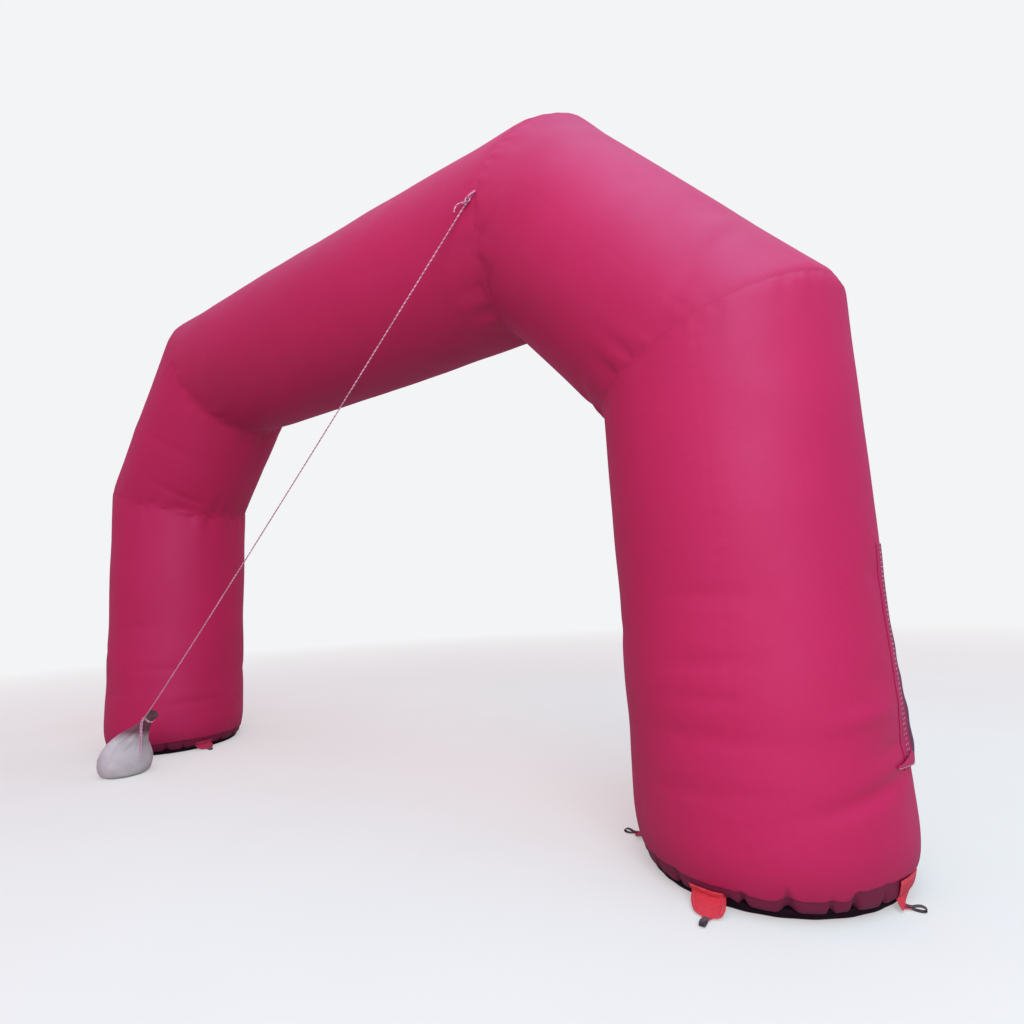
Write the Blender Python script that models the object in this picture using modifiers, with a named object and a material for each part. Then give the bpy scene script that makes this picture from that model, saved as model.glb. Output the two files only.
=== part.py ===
"""Inflatable arch: five round air tubes joined at mitred seams, on two feet.

Each foot is gathered onto a black base pan and carries four anchor tabs with webbing loops.
A guy rope runs from a webbing loop on the right crown seam to a ballast sack by the left foot.
Metres, +Z up. The origin is on the ground, at mid-span, in the plane of the tubes' centrelines.
"""

import math

import bmesh
import bpy
from mathutils import Matrix, Vector

# The arch, along its centrelines
TUBE_RADIUS = 0.71
BEAM_SWELL = 0.017  # the beam is this much fatter at mid-span than at its seams
LEG_X = 3.27
SHOULDER_Z = 2.84  # where a leg meets its slant
CROWN_X = 2.17  # where a slant meets the beam
CROWN_Z = 4.167

# Mitred seams
SEAM_PINCH = 0.010  # the stitched ring pulls the cloth in by this much
PINCH_REACH = 0.12
CORNER_DROP = 0.008  # the outer corner of a seam is rounded off by this much
CORNER_REACH = 0.40  # how far along a tube its end shape fades out
RIGHT_CROWN_LEAN = 14.0  # degrees; the front and back of this seam lean less than a true mitre
GAP = 0.0003  # between pieces that meet

# Feet
FOOT_SIDES = 72
FOOT_RADIUS = 0.635  # of the gathered edge
FOOT_LIFT = 0.045  # height of the gathered edge, the top of the base pan
FOOT_TOP = 0.34  # where the rounding of the foot ends
FOOT_POWER = 0.95  # below 1, the rounding is fuller than a quarter ellipse
PAN_RIM = 0.639
PAN_FLOOR = 0.620
PAN_BEVEL = 0.014
PAN_STEPS = 48
PUCKERS = 18
PUCKER_DEPTH = 0.016

# Steps up the rounding of a foot: angle on the rounding, share of the puckers' depth there
FOOT_STEPS = (
    (0, 0.7),
    (12, 1.0),
    (22, 0.9),
    (30, 0.6),
    (48, 0.2),
    (66, 0.0),
    (90, 0.0),
)

# Soft waists round a leg: height, depth, half height
LEG_WAISTS = (
    (0.75, 0.006, 0.14),
    (1.40, 0.009, 0.30),
)
LEG_LEVELS = (0.53, 0.62, 0.75, 0.90, 1.00, 1.30, 1.66, 2.00)
LEG_TOP_STEPS = (0.40, 0.70, 0.87, 0.95, 1.0)

TUBE_SIDES = 40
SLANT_STEPS = (0, 0.02, 0.06, 0.14, 0.26, 0.5, 0.74, 0.86, 0.94, 0.98, 1)
BEAM_STEPS = (0, 0.01, 0.03, 0.07, 0.13, 0.24, 0.5, 0.76, 0.87, 0.93, 0.97, 0.99, 1)

# Anchor tabs
TAB_THICK = 0.003
TAB_LIFT = 0.0006  # above the skin that it is sewn to
TAB_SIDE_STEP = 5.0  # degrees of foot between a tab's columns
TAB_COLUMNS = 3
TAB_TIP_Z = 0.0085  # underside of the flat tip
TAB_TIP_FLAT = 0.030  # length of the flat tip
TAB_TIP_HALF = 0.014
TAB_LEAVE = 0.8  # below 1, a tab leaves the skin before it heads for the floor
TAB_SETTLE = 2.0  # above 1, it then comes down late onto its flat tip

# Tabs on each foot: turn from the outer side towards the front, in degrees, rows sewn to the
# skin, turn of the tip, radius of the tip, and the way the tip points (outwards, frontwards)
TABS = {
    "front": (102.5, 2, 98.0, 0.80, (0, 1)),
    "outer": (17.5, 3, 21.0, 0.70, (1, 0)),
    "back": (282.5, 2, 282.5, 0.79, (0, -1)),
    "inner": (177.5, 2, 177.5, 0.79, (-1, 0)),
}

# Free part of a tab: share of the way to its flat tip, half width
TAB_SHAPE = (
    (0.35, 0.086),
    (0.70, 0.070),
    (1.0, 0.030),
)

# Webbing loop round the tip of a tab: distance past the tip, height above the floor
LOOP_THICK = 0.0025
LOOP_WIDTH = 0.025
LOOP_PATH = (
    (-0.0220, 0.00695),
    (0.0000, 0.00600),
    (0.0120, 0.00320),
    (0.0300, 0.00225),
    (0.0460, 0.00420),
    (0.0550, 0.01100),
    (0.0500, 0.02000),
    (0.0340, 0.02400),
    (0.0140, 0.02000),
    (0.0000, 0.01420),
    (-0.0220, 0.01305),
)

# Zip flap on the outer side of the right leg: height, stand-off of its middle, of its free edge
FLAP_THICK = 0.003
FLAP_TURNS = (10.0, 5.0, 0.0, -5.0)  # degrees from the outer side towards the front
FLAP_ROWS = (
    (0.53, 0.007, 0.014),
    (0.62, 0.016, 0.024),
    (0.75, 0.020, 0.026),
    (0.90, 0.009, 0.014),
    (1.00, 0.003, 0.006),
    (1.30, 0.001, 0.002),
    (1.66, 0.001, 0.002),
)

# Guy loop, on the right crown seam: distance down the rope's line, distance from the cloth
GUY_LOOP_WIDTH = 0.020
GUY_LOOP_PATH = (
    (0.0000, 0.0025),
    (0.0200, 0.0075),
    (0.0450, 0.0120),
    (0.0580, 0.0130),
    (0.0665, 0.0205),
    (0.0580, 0.0280),
    (0.0450, 0.0280),
    (0.0200, 0.0170),
    (0.0000, 0.0060),
)

# Rope
ROPE_RADIUS = 0.005
ROPE_STEP = 0.095  # between the tube's points along the rope
TAIL_STEP = 0.022
ROUTE_CUTS = 10  # steps of the smooth curve between two points of a route
KNOT_RADIUS = 0.0165
BIGHT_RADIUS = 0.019
BIGHT_ALONG = 0.071  # middle of the rope's bight, down the rope's line from the seam
BIGHT_OUT = 0.0205
KNOT_ALONG = 0.100
ROPE_ROUTE = (
    (1.9263, -0.7242, 4.0893),
    (1.810, -0.728, 3.984),
    (1.640, -0.734, 3.829),
    (1.400, -0.743, 3.611),
    (1.100, -0.755, 3.338),
    (0.800, -0.766, 3.067),
    (0.450, -0.780, 2.751),
    (0.100, -0.793, 2.437),
    (-0.250, -0.806, 2.124),
    (-0.600, -0.819, 1.812),
    (-0.950, -0.832, 1.502),
    (-1.250, -0.843, 1.238),
    (-1.550, -0.855, 0.976),
    (-1.800, -0.864, 0.760),
    (-1.970, -0.870, 0.618),
    (-2.0775, -0.8745, 0.5312),
)
GUY_TAIL_ROUTE = (
    (1.9250, -0.7298, 4.1077),
    (1.912, -0.735, 4.113),
    (1.896, -0.740, 4.114),
    (1.880, -0.744, 4.108),
    (1.868, -0.747, 4.096),
    (1.860, -0.749, 4.080),
    (1.856, -0.750, 4.060),
)
TIE_ROUTES = {
    "tie_end_long": (
        (-2.0852, -0.8837, 0.5056),
        (-2.082, -0.890, 0.487),
        (-2.081, -0.893, 0.460),
        (-2.081, -0.894, 0.420),
        (-2.081, -0.894, 0.370),
        (-2.080, -0.894, 0.320),
        (-2.080, -0.894, 0.270),
        (-2.080, -0.894, 0.220),
        (-2.079, -0.894, 0.170),
    ),
    "tie_end_short": (
        (-2.1006, -0.8837, 0.5085),
        (-2.106, -0.891, 0.491),
        (-2.108, -0.894, 0.466),
        (-2.108, -0.895, 0.430),
        (-2.108, -0.895, 0.385),
        (-2.109, -0.895, 0.340),
        (-2.109, -0.895, 0.295),
        (-2.109, -0.895, 0.255),
    ),
}

# Ballast sack: its middle on the floor, the way its neck leans
SACK_PLACE = (-2.345, -0.917)
NECK_HEADING = 22.0  # degrees from +X towards +Y
SACK_SIDES = 32
SACK_GATHERS = 8
KNOT_PLACE = (-2.090, -0.875, 0.520)

# Sections of the sack from the floor to its mouth: distance towards the neck, height, radius,
# tilt in degrees, share of the radius that its gathers take
SACK_SECTIONS = (
    (0.000, 0.000, 0.165, 0, 0.00),
    (0.000, 0.028, 0.205, 0, 0.00),
    (0.000, 0.110, 0.228, 0, 0.00),
    (0.010, 0.200, 0.215, 5, 0.00),
    (0.040, 0.270, 0.178, 16, 0.03),
    (0.092, 0.325, 0.130, 30, 0.08),
    (0.148, 0.378, 0.090, 40, 0.14),
    (0.203, 0.442, 0.058, 46, 0.18),
    (0.262, 0.509, 0.037, 48, 0.00),
    (0.285, 0.532, 0.045, 48, 0.16),
    (0.308, 0.554, 0.052, 48, 0.24),
)
TIE_SECTION = 8  # the section that the rope ties in
TIE_GAP = 0.0005

# Colours, linear, with roughness
FINISHES = {
    "rose_cloth": ((0.56, 0.030, 0.135), 0.50),
    "black_base": ((0.012, 0.010, 0.012), 0.60),
    "coral_tab": ((0.70, 0.045, 0.070), 0.55),
    "black_webbing": ((0.015, 0.014, 0.016), 0.75),
    "rose_webbing": ((0.50, 0.050, 0.150), 0.70),
    "pale_rope": ((0.78, 0.56, 0.62), 0.70),
    "sack_cloth": ((0.62, 0.58, 0.55), 0.75),
}

SHARP_ANGLE = 35.0  # degrees; an edge that bends more than this is shaded as a crease

FRONT = Vector((0, -1, 0))
UP = Vector((0, 0, 1))


def clear_scene():
    for item in list(bpy.data.objects):
        bpy.data.objects.remove(item, do_unlink=True)


def add_collection(name):
    collection = bpy.data.collections.new(name)
    bpy.context.scene.collection.children.link(collection)
    return collection


def make_finishes():
    """One Principled material for each finish."""
    finishes = {}
    for name, (colour, roughness) in FINISHES.items():
        material = bpy.data.materials.new(name)
        material.use_nodes = True
        shader = material.node_tree.nodes["Principled BSDF"]
        shader.inputs["Base Color"].default_value = (*colour, 1)
        shader.inputs["Roughness"].default_value = roughness
        shader.inputs["Metallic"].default_value = 0
        material.diffuse_color = (*colour, 1)
        finishes[name] = material
    return finishes


def place(part, name, finish, parts):
    """Names an object, gives it its finish and moves it to the parts' collection."""
    part.name = name
    part.data.name = name
    part.data.materials.clear()
    part.data.materials.append(finish)
    for collection in list(part.users_collection):
        collection.objects.unlink(part)
    parts.objects.link(part)
    if part.type == "MESH":
        part.data.shade_smooth()
        part.data.set_sharp_from_angle(angle=math.radians(SHARP_ANGLE))
    return part


def mesh_object(name, points, faces):
    """A mesh object whose faces are turned outwards, so that it holds a positive volume."""
    mesh = bpy.data.meshes.new(name)
    mesh.from_pydata([tuple(p) for p in points], [], faces)
    edit = bmesh.new()
    edit.from_mesh(mesh)
    if edit.calc_volume(signed=True) < 0:
        bmesh.ops.reverse_faces(edit, faces=edit.faces)
    edit.to_mesh(mesh)
    edit.free()
    part = bpy.data.objects.new(name, mesh)
    bpy.context.scene.collection.objects.link(part)
    return part


def halves(a, b, c, d):
    """A four-sided face as two triangles that share the edge from a to c.

    What is sewn on a gathered skin is split the same way, so that it lies on the skin evenly.
    """
    return [(a, b, c), (a, c, d)]


def loft(name, rings):
    """A closed skin over rings of equally many points.

    Each end is a fan from the ring's middle, so that two pieces which meet at a ring that isn't
    quite plane still lie evenly against each other.
    """
    sides = len(rings[0])
    points = [p for ring in rings for p in ring]
    first = len(points)
    last = first + 1
    points += [sum(ring, Vector()) / sides for ring in (rings[0], rings[-1])]
    faces = []
    for low in range(0, (len(rings) - 1) * sides, sides):
        for k in range(sides):
            after = (k + 1) % sides
            faces += halves(low + k, low + after, low + sides + after, low + sides + k)
    top = first - sides
    for k in range(sides):
        after = (k + 1) % sides
        faces.append((first, after, k))
        faces.append((last, top + k, top + after))
    return mesh_object(name, points, faces)


def slab(name, inner, outer):
    """A closed sheet between two grids of points, given as rows of equal length."""
    rows = len(inner)
    columns = len(inner[0])
    points = [p for grid in (inner, outer) for row in grid for p in row]
    size = rows * columns
    faces = []
    for r in range(rows - 1):
        for c in range(columns - 1):
            a = r * columns + c
            corners = (a + 1, a + columns + 1, a + columns, a)
            faces += [t[::-1] for t in halves(*corners)]
            faces += halves(*(size + i for i in corners))
    rim = list(range(columns))
    rim += [r * columns + columns - 1 for r in range(1, rows)]
    rim += [(rows - 1) * columns + c for c in range(columns - 2, -1, -1)]
    rim += [r * columns for r in range(rows - 2, 0, -1)]
    for a, b in zip(rim, rim[1:] + rim[:1]):
        faces.append((a, b, size + b, size + a))
    return mesh_object(name, points, faces)


def turns(sides):
    return [2 * math.pi * k / sides for k in range(sides)]


def fade(distance, reach):
    """1 at a seam, falling to 0 at the given reach."""
    return max(0.0, 1 - distance / reach) ** 2


class Tube:
    """A straight run of the arch between two points of its centreline.

    A turn is an angle round the tube, from its outer side towards the front.
    """

    def __init__(self, start, end):
        self.start = Vector(start)
        self.length = (Vector(end) - self.start).length
        self.along = (Vector(end) - self.start).normalized()
        self.end = Vector(end)
        square = Vector((-self.along.z, 0, self.along.x))
        outwards = square.dot(self.start + self.end) > 0
        self.out = square if outwards else -square

    def side(self, turn):
        """The direction from the axis at a turn."""
        return math.cos(turn) * self.out + math.sin(turn) * FRONT


class Seam:
    """The ring where two tubes meet.

    It is the cut of the host tube's cylinder by a plane through the inner corner of the mitre.
    The plane leans from a square cut by the given angle, which is half the bend for a true mitre.
    A ring that leans less is bent, so that its outer side still reaches the mitre's outer corner.
    """

    def __init__(self, corner, host, bend, lean, towards):
        self.corner = Vector(corner)
        self.host = host
        self.rise = math.tan(lean)
        self.outer_rise = math.tan(bend / 2)
        self.inset = TUBE_RADIUS * math.tan(bend / 2)
        self.towards = towards * host.along  # from the host's body to the seam
        self.slope = (host.out + self.rise * self.towards).normalized()
        self.middle = self.corner + self.towards * (TUBE_RADIUS * self.rise - self.inset)
        self.normal = self.slope.cross(FRONT).normalized()

    def smooth(self, turn):
        """A point of the ring before the stitching pulls it in."""
        outer = max(0.0, math.cos(turn)) ** 2
        rise = self.rise + outer * (self.outer_rise - self.rise)
        reach = TUBE_RADIUS * (1 + math.cos(turn)) * rise - self.inset
        point = self.corner + TUBE_RADIUS * self.host.side(turn) + reach * self.towards
        return point - CORNER_DROP * outer * self.slope

    def stitched(self, turn):
        point = self.smooth(turn)
        return point.lerp(self.middle, SEAM_PINCH / TUBE_RADIUS)


def across(vector, along):
    """The part of a vector that is square to a direction."""
    return vector - vector.dot(along) * along


def tube_ring(tube, sides, step, first, last, swell=0.0):
    """A ring of a tube at a share of the way between two ends, each a seam or a height."""
    ring = []
    for turn in turns(sides):
        side = tube.side(turn)
        ends = []
        for end in (first, last):
            stitch = end.stitched(turn) if isinstance(end, Seam) else None
            reach = end if stitch is None else (stitch - tube.start).dot(tube.along)
            ends.append((reach, end, stitch))
        at = ends[0][0] + step * (ends[1][0] - ends[0][0])
        point = tube.start + at * tube.along + TUBE_RADIUS * side
        for reach, end, stitch in ends:
            if stitch is None:
                continue
            distance = abs(at - reach)
            plain = tube.start + reach * tube.along + TUBE_RADIUS * side
            shaped = end.smooth(turn)
            point += across(shaped - plain, tube.along) * fade(distance, CORNER_REACH)
            point += across(stitch - shaped, tube.along) * fade(distance, PINCH_REACH)
        point += swell * math.sin(math.pi * step) * side
        ring.append(point)
    return ring


def shifted(ring, offset):
    return [p + offset for p in ring]


def seam_gap(tube, seam, sign):
    """The small step back from a seam's plane that parts one tube from the next."""
    normal = seam.normal * (1 if seam.normal.dot(tube.along) > 0 else -1)
    return sign * normal * GAP / 2


def pucker(turn):
    """How deep the gathered edge dips at a turn, from 0 to 1 and uneven round the foot."""
    wave = 0.5 - 0.5 * math.cos(PUCKERS * turn)
    uneven = 0.72 + 0.28 * math.sin(3 * turn + 1.1) * math.cos(5 * turn - 0.4)
    return wave * uneven


def foot_level(step):
    """Height and radius of a step of the foot's rounding, before its puckers."""
    angle = math.radians(FOOT_STEPS[step][0])
    height = FOOT_LIFT + (FOOT_TOP - FOOT_LIFT) * (1 - math.cos(angle) ** FOOT_POWER)
    radius = FOOT_RADIUS + (TUBE_RADIUS - FOOT_RADIUS) * math.sin(angle) ** FOOT_POWER
    return height, radius


def foot_point(tube, step, turn, lift=0.0):
    """A point of the gathered skin, or of something sewn on it at the given lift."""
    height, radius = foot_level(step)
    radius += lift - PUCKER_DEPTH * FOOT_STEPS[step][1] * pucker(turn)
    base = Vector((tube.start.x, 0, height))
    return base + radius * tube.side(turn)


def waist(height):
    """How far a leg draws in at a height."""
    return sum(d * math.exp(-(((height - z) / h) ** 2)) for z, d, h in LEG_WAISTS)


def leg_point(tube, turn, height, lift=0.0):
    base = Vector((tube.start.x, 0, height))
    return base + (TUBE_RADIUS - waist(height) + lift) * tube.side(turn)


def make_leg(name, tube, seam):
    """A leg, from its gathered edge to its mitred seam. Its tube is given from the floor up."""
    rings = []
    for step in range(len(FOOT_STEPS)):
        rings.append([foot_point(tube, step, turn) for turn in turns(FOOT_SIDES)])
    for level in LEG_LEVELS:
        rings.append([leg_point(tube, turn, level) for turn in turns(FOOT_SIDES)])
    for step in LEG_TOP_STEPS:
        rings.append(tube_ring(tube, FOOT_SIDES, step, LEG_LEVELS[-1], seam))
    rings[-1] = shifted(rings[-1], seam_gap(tube, seam, -1))
    return loft(name, rings)


def make_tube(name, tube, first, last, steps, swell=0.0):
    """A slant or the beam, between two seams."""
    rings = [tube_ring(tube, TUBE_SIDES, step, first, last, swell) for step in steps]
    rings[0] = shifted(rings[0], seam_gap(tube, first, 1))
    rings[-1] = shifted(rings[-1], seam_gap(tube, last, -1))
    return loft(name, rings)


def make_pan(name, x):
    """The black base under a foot, a turned disc with a bevelled lower edge."""
    outline = (
        (PAN_FLOOR, 0),
        (PAN_RIM, PAN_BEVEL),
        (PAN_RIM, FOOT_LIFT - GAP),
    )
    points = [(0, 0, 0)] + [(r, 0, z) for r, z in outline] + [(0, 0, FOOT_LIFT - GAP)]
    points.reverse()
    mesh = bpy.data.meshes.new(name)
    mesh.from_pydata(points, [(i, i + 1) for i in range(len(points) - 1)], [])
    pan = bpy.data.objects.new(name, mesh)
    bpy.context.scene.collection.objects.link(pan)
    pan.location = (x, 0, 0)
    turned = pan.modifiers.new("Turned", "SCREW")
    turned.axis = "Z"
    turned.steps = PAN_STEPS
    turned.render_steps = PAN_STEPS
    turned.use_merge_vertices = True
    turned.merge_threshold = 0.0001
    turned.use_smooth_shade = True
    return pan


def tab_frame(tube, spec):
    """Tip, outward direction and sideways direction of a tab."""
    _, _, tip_turn, radius, (outwards, frontwards) = spec
    turn = math.radians(tip_turn)
    tip = Vector((tube.start.x, 0, TAB_TIP_Z)) + radius * tube.side(turn)
    way = outwards * tube.out + frontwards * FRONT
    return tip, way, UP.cross(way)


def make_tab(name, tube, spec):
    """A home-plate tab: sewn to the skin at its top, free below, flat at its tip."""
    middle, sewn, _, _, _ = spec
    tip, way, sideways = tab_frame(tube, spec)
    offsets = [c - TAB_COLUMNS / 2 for c in range(TAB_COLUMNS + 1)]
    columns = [math.radians(middle + TAB_SIDE_STEP * k) for k in offsets]
    rows = [[foot_point(tube, 1 + s, t, TAB_LIFT) for t in columns] for s in range(sewn, 0, -1)]
    root = rows[-1]
    if (root[-1] - root[0]).dot(sideways) < 0:
        sideways = -sideways
    flat = tip - TAB_TIP_FLAT * way
    for share, half in TAB_SHAPE:
        row = []
        for k, start in zip(offsets, root):
            end = flat + sideways * half * k / offsets[-1]
            row.append(start.lerp(end, share ** TAB_LEAVE).lerp(end, share ** TAB_SETTLE))
        rows.append(row)
    rows.append([tip + sideways * TAB_TIP_HALF * k / offsets[-1] for k in offsets])
    outer = []
    for r, row in enumerate(rows):
        before = rows[max(r - 1, 0)]
        after = rows[min(r + 1, len(rows) - 1)]
        if r >= len(rows) - 2:
            lift = UP
        else:
            path = (after[1] + after[2] - before[1] - before[2]).normalized()
            lift = sideways.cross(path).normalized()
            lift = lift if lift.dot(way) > 0 else -lift
        outer.append([p + TAB_THICK * lift for p in row])
    return slab(name, rows, outer)


def ribbon(name, path, sideways, width, thick):
    """A strap: an open strip along a path, thickened on both sides."""
    half = sideways * width / 2
    points = [p + side for p in path for side in (-half, half)]
    faces = [(2 * i, 2 * i + 1, 2 * i + 3, 2 * i + 2) for i in range(len(path) - 1)]
    mesh = bpy.data.meshes.new(name)
    mesh.from_pydata([tuple(p) for p in points], [], faces)
    strap = bpy.data.objects.new(name, mesh)
    bpy.context.scene.collection.objects.link(strap)
    wall = strap.modifiers.new("Webbing", "SOLIDIFY")
    wall.thickness = thick
    wall.offset = 0
    wall.use_even_offset = True
    return strap


def make_tab_loop(name, tube, spec):
    """Webbing folded round the tip of a tab, with an eye past the tip."""
    tip, way, sideways = tab_frame(tube, spec)
    floor = Vector((tip.x, tip.y, 0))
    path = [floor + way * reach + UP * height for reach, height in LOOP_PATH]
    return ribbon(name, path, sideways, LOOP_WIDTH, LOOP_THICK)


def make_flap(name, tube):
    """The cover of the zip: sewn to the leg along its front edge, free along its back edge."""
    inner = []
    outer = []
    for height, middle_lift, edge_lift in FLAP_ROWS:
        lifts = (TAB_LIFT, TAB_LIFT, TAB_LIFT + middle_lift, TAB_LIFT + edge_lift)
        row = []
        cover = []
        for turn, lift in zip(FLAP_TURNS, lifts):
            row.append(leg_point(tube, math.radians(turn), height, lift))
            cover.append(leg_point(tube, math.radians(turn), height, lift + FLAP_THICK))
        inner.append(row)
        outer.append(cover)
    return slab(name, inner, outer)


def rope_line(seam):
    """Start on the seam, direction down the rope, direction away from the cloth."""
    start = seam.stitched(math.pi / 2)
    down = (Vector(KNOT_PLACE) - start).normalized()
    away = across(FRONT, down).normalized()
    return start, down, away


def make_guy_loop(name, seam):
    """Webbing sewn into the crown seam, pulled along the rope's line."""
    start, down, away = rope_line(seam)
    path = [start + down * t + away * n for t, n in GUY_LOOP_PATH]
    return ribbon(name, path, down.cross(away), GUY_LOOP_WIDTH, LOOP_THICK)


def ring_and_knot(name, centre, axis, radius, sides, knot, cutters):
    """A ring of rope with a knot on it, as one solid."""
    bpy.ops.mesh.primitive_torus_add(
        major_radius=radius,
        minor_radius=ROPE_RADIUS,
        major_segments=sides,
        minor_segments=8,
    )
    ring = bpy.context.object
    square = across(knot - centre, axis).normalized()
    frame = Matrix((square, axis.cross(square), axis)).transposed().to_4x4()
    ring.matrix_world = Matrix.Translation(centre) @ frame
    bpy.ops.mesh.primitive_uv_sphere_add(segments=12, ring_count=8, radius=KNOT_RADIUS)
    ball = bpy.context.object
    ball.name = name + "_knot_shape"
    ball.location = knot
    for collection in list(ball.users_collection):
        collection.objects.unlink(ball)
    cutters.objects.link(ball)
    ball.hide_render = True
    ball.display_type = "WIRE"
    joined = ring.modifiers.new("Knot", "BOOLEAN")
    joined.operation = "UNION"
    joined.solver = "EXACT"
    joined.object = ball
    return ring


def make_guy_knot(name, seam, cutters):
    """The rope's bight through the guy loop, and its knot."""
    start, down, away = rope_line(seam)
    centre = start + down * BIGHT_ALONG + away * BIGHT_OUT
    knot = start + down * KNOT_ALONG + away * BIGHT_OUT
    return ring_and_knot(name, centre, away, BIGHT_RADIUS, 16, knot, cutters)


def smooth_route(route, step):
    """Points at an even step along a Catmull-Rom curve through a route."""
    knots = [Vector(p) for p in route]
    knots = [2 * knots[0] - knots[1]] + knots + [2 * knots[-1] - knots[-2]]
    fine = []
    for a, b, c, d in zip(knots, knots[1:], knots[2:], knots[3:]):
        for k in range(ROUTE_CUTS):
            t = k / ROUTE_CUTS
            spread = 2 * b + (c - a) * t + (2 * a - 5 * b + 4 * c - d) * t * t
            fine.append((spread + (3 * b - a - 3 * c + d) * t * t * t) / 2)
    fine.append(knots[-2])
    reach = [0.0]
    for a, b in zip(fine, fine[1:]):
        reach.append(reach[-1] + (b - a).length)
    count = max(2, round(reach[-1] / step))
    points = []
    i = 0
    for k in range(count + 1):
        target = reach[-1] * k / count
        while i < len(fine) - 2 and reach[i + 1] < target:
            i += 1
        points.append(fine[i].lerp(fine[i + 1], (target - reach[i]) / (reach[i + 1] - reach[i])))
    return points


def make_rope(name, route, step):
    """A rope as a round tube along its route."""
    points = smooth_route(route, step)
    curve = bpy.data.curves.new(name, "CURVE")
    curve.dimensions = "3D"
    curve.bevel_depth = ROPE_RADIUS
    curve.bevel_resolution = 2
    curve.use_fill_caps = True
    spline = curve.splines.new("POLY")
    spline.points.add(len(points) - 1)
    for spot, point in zip(spline.points, points):
        spot.co = (*point, 1)
    rope = bpy.data.objects.new(name, curve)
    bpy.context.scene.collection.objects.link(rope)
    return rope


def sack_frame(section):
    """Centre and the three directions of a section of the sack."""
    reach, height, _, tilt, _ = section
    heading = math.radians(NECK_HEADING)
    lean = Vector((math.cos(heading), math.sin(heading), 0))
    centre = Vector((*SACK_PLACE, height)) + reach * lean
    angle = math.radians(tilt)
    axis = math.sin(angle) * lean + math.cos(angle) * UP
    forward = math.cos(angle) * lean - math.sin(angle) * UP
    return centre, axis, forward, axis.cross(forward)


def make_sack(name):
    """A filled sack that sits on a flat bottom, its gathered neck drawn towards the rope."""
    rings = []
    for section in SACK_SECTIONS:
        centre, _, forward, sideways = sack_frame(section)
        radius, gather = section[2], section[4]
        ring = []
        for turn in turns(SACK_SIDES):
            dip = gather * (0.5 - 0.5 * math.cos(SACK_GATHERS * turn))
            side = math.cos(turn) * forward + math.sin(turn) * sideways
            ring.append(centre + radius * (1 - dip) * side)
        rings.append(ring)
    return loft(name, rings)


def make_tie(name, cutters):
    """The rope tied round the sack's neck, with its knot."""
    section = SACK_SECTIONS[TIE_SECTION]
    centre, axis, _, _ = sack_frame(section)
    radius = section[2] + TIE_GAP + ROPE_RADIUS
    knot = Vector(KNOT_PLACE)
    return ring_and_knot(name, centre, axis, radius, SACK_SIDES, knot, cutters)


def main():
    clear_scene()
    parts = add_collection("inflatable_arch")
    cutters = add_collection("cutters")
    finish = make_finishes()

    left_leg = Tube((-LEG_X, 0, 0), (-LEG_X, 0, SHOULDER_Z))
    left_slant = Tube((-LEG_X, 0, SHOULDER_Z), (-CROWN_X, 0, CROWN_Z))
    beam = Tube((-CROWN_X, 0, CROWN_Z), (CROWN_X, 0, CROWN_Z))
    right_slant = Tube((CROWN_X, 0, CROWN_Z), (LEG_X, 0, SHOULDER_Z))
    right_leg = Tube((LEG_X, 0, 0), (LEG_X, 0, SHOULDER_Z))

    crown_bend = math.atan2(CROWN_Z - SHOULDER_Z, LEG_X - CROWN_X)
    shoulder_bend = math.pi / 2 - crown_bend
    shoulder_lean = shoulder_bend / 2
    left_shoulder = Seam(left_leg.end, left_leg, shoulder_bend, shoulder_lean, 1)
    right_shoulder = Seam(right_leg.end, right_leg, shoulder_bend, shoulder_lean, 1)
    left_crown = Seam(beam.start, beam, crown_bend, crown_bend / 2, -1)
    right_crown = Seam(beam.end, beam, crown_bend, math.radians(RIGHT_CROWN_LEAN), 1)

    cloth = finish["rose_cloth"]
    place(make_leg("leg_left", left_leg, left_shoulder), "leg_left", cloth, parts)
    slant = make_tube("slant_left", left_slant, left_shoulder, left_crown, SLANT_STEPS)
    place(slant, "slant_left", cloth, parts)
    top = make_tube("beam", beam, left_crown, right_crown, BEAM_STEPS, BEAM_SWELL)
    place(top, "beam", cloth, parts)
    slant = make_tube("slant_right", right_slant, right_crown, right_shoulder, SLANT_STEPS)
    place(slant, "slant_right", cloth, parts)
    place(make_leg("leg_right", right_leg, right_shoulder), "leg_right", cloth, parts)

    for side, tube in (("left", left_leg), ("right", right_leg)):
        base = "base_" + side
        place(make_pan(base, tube.start.x), base, finish["black_base"], parts)
        for spot, spec in TABS.items():
            tab = f"tab_{side}_{spot}"
            place(make_tab(tab, tube, spec), tab, finish["coral_tab"], parts)
            loop = f"loop_{side}_{spot}"
            place(make_tab_loop(loop, tube, spec), loop, finish["black_webbing"], parts)

    place(make_flap("zip_flap", right_leg), "zip_flap", cloth, parts)
    guy_loop = make_guy_loop("guy_loop", right_crown)
    place(guy_loop, "guy_loop", finish["rose_webbing"], parts)
    rope = finish["pale_rope"]
    place(make_guy_knot("guy_knot", right_crown, cutters), "guy_knot", rope, parts)
    place(make_rope("guy_rope", ROPE_ROUTE, ROPE_STEP), "guy_rope", rope, parts)
    place(make_rope("guy_tail", GUY_TAIL_ROUTE, TAIL_STEP), "guy_tail", rope, parts)
    place(make_tie("sack_tie", cutters), "sack_tie", rope, parts)
    for name, route in TIE_ROUTES.items():
        place(make_rope(name, route, TAIL_STEP), name, rope, parts)
    place(make_sack("ballast_sack"), "ballast_sack", finish["sack_cloth"], parts)


main()
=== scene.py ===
"""Inflatable arch: the looks of its air tubes, feet, anchor tabs, zip flap, guy rope and sack.

Metres, +Z up. A turn is an angle round a tube, from the arch's outer side towards its front.
Every surface is a grid of points worked out with numpy, with its place in the mesh.
"""

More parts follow.
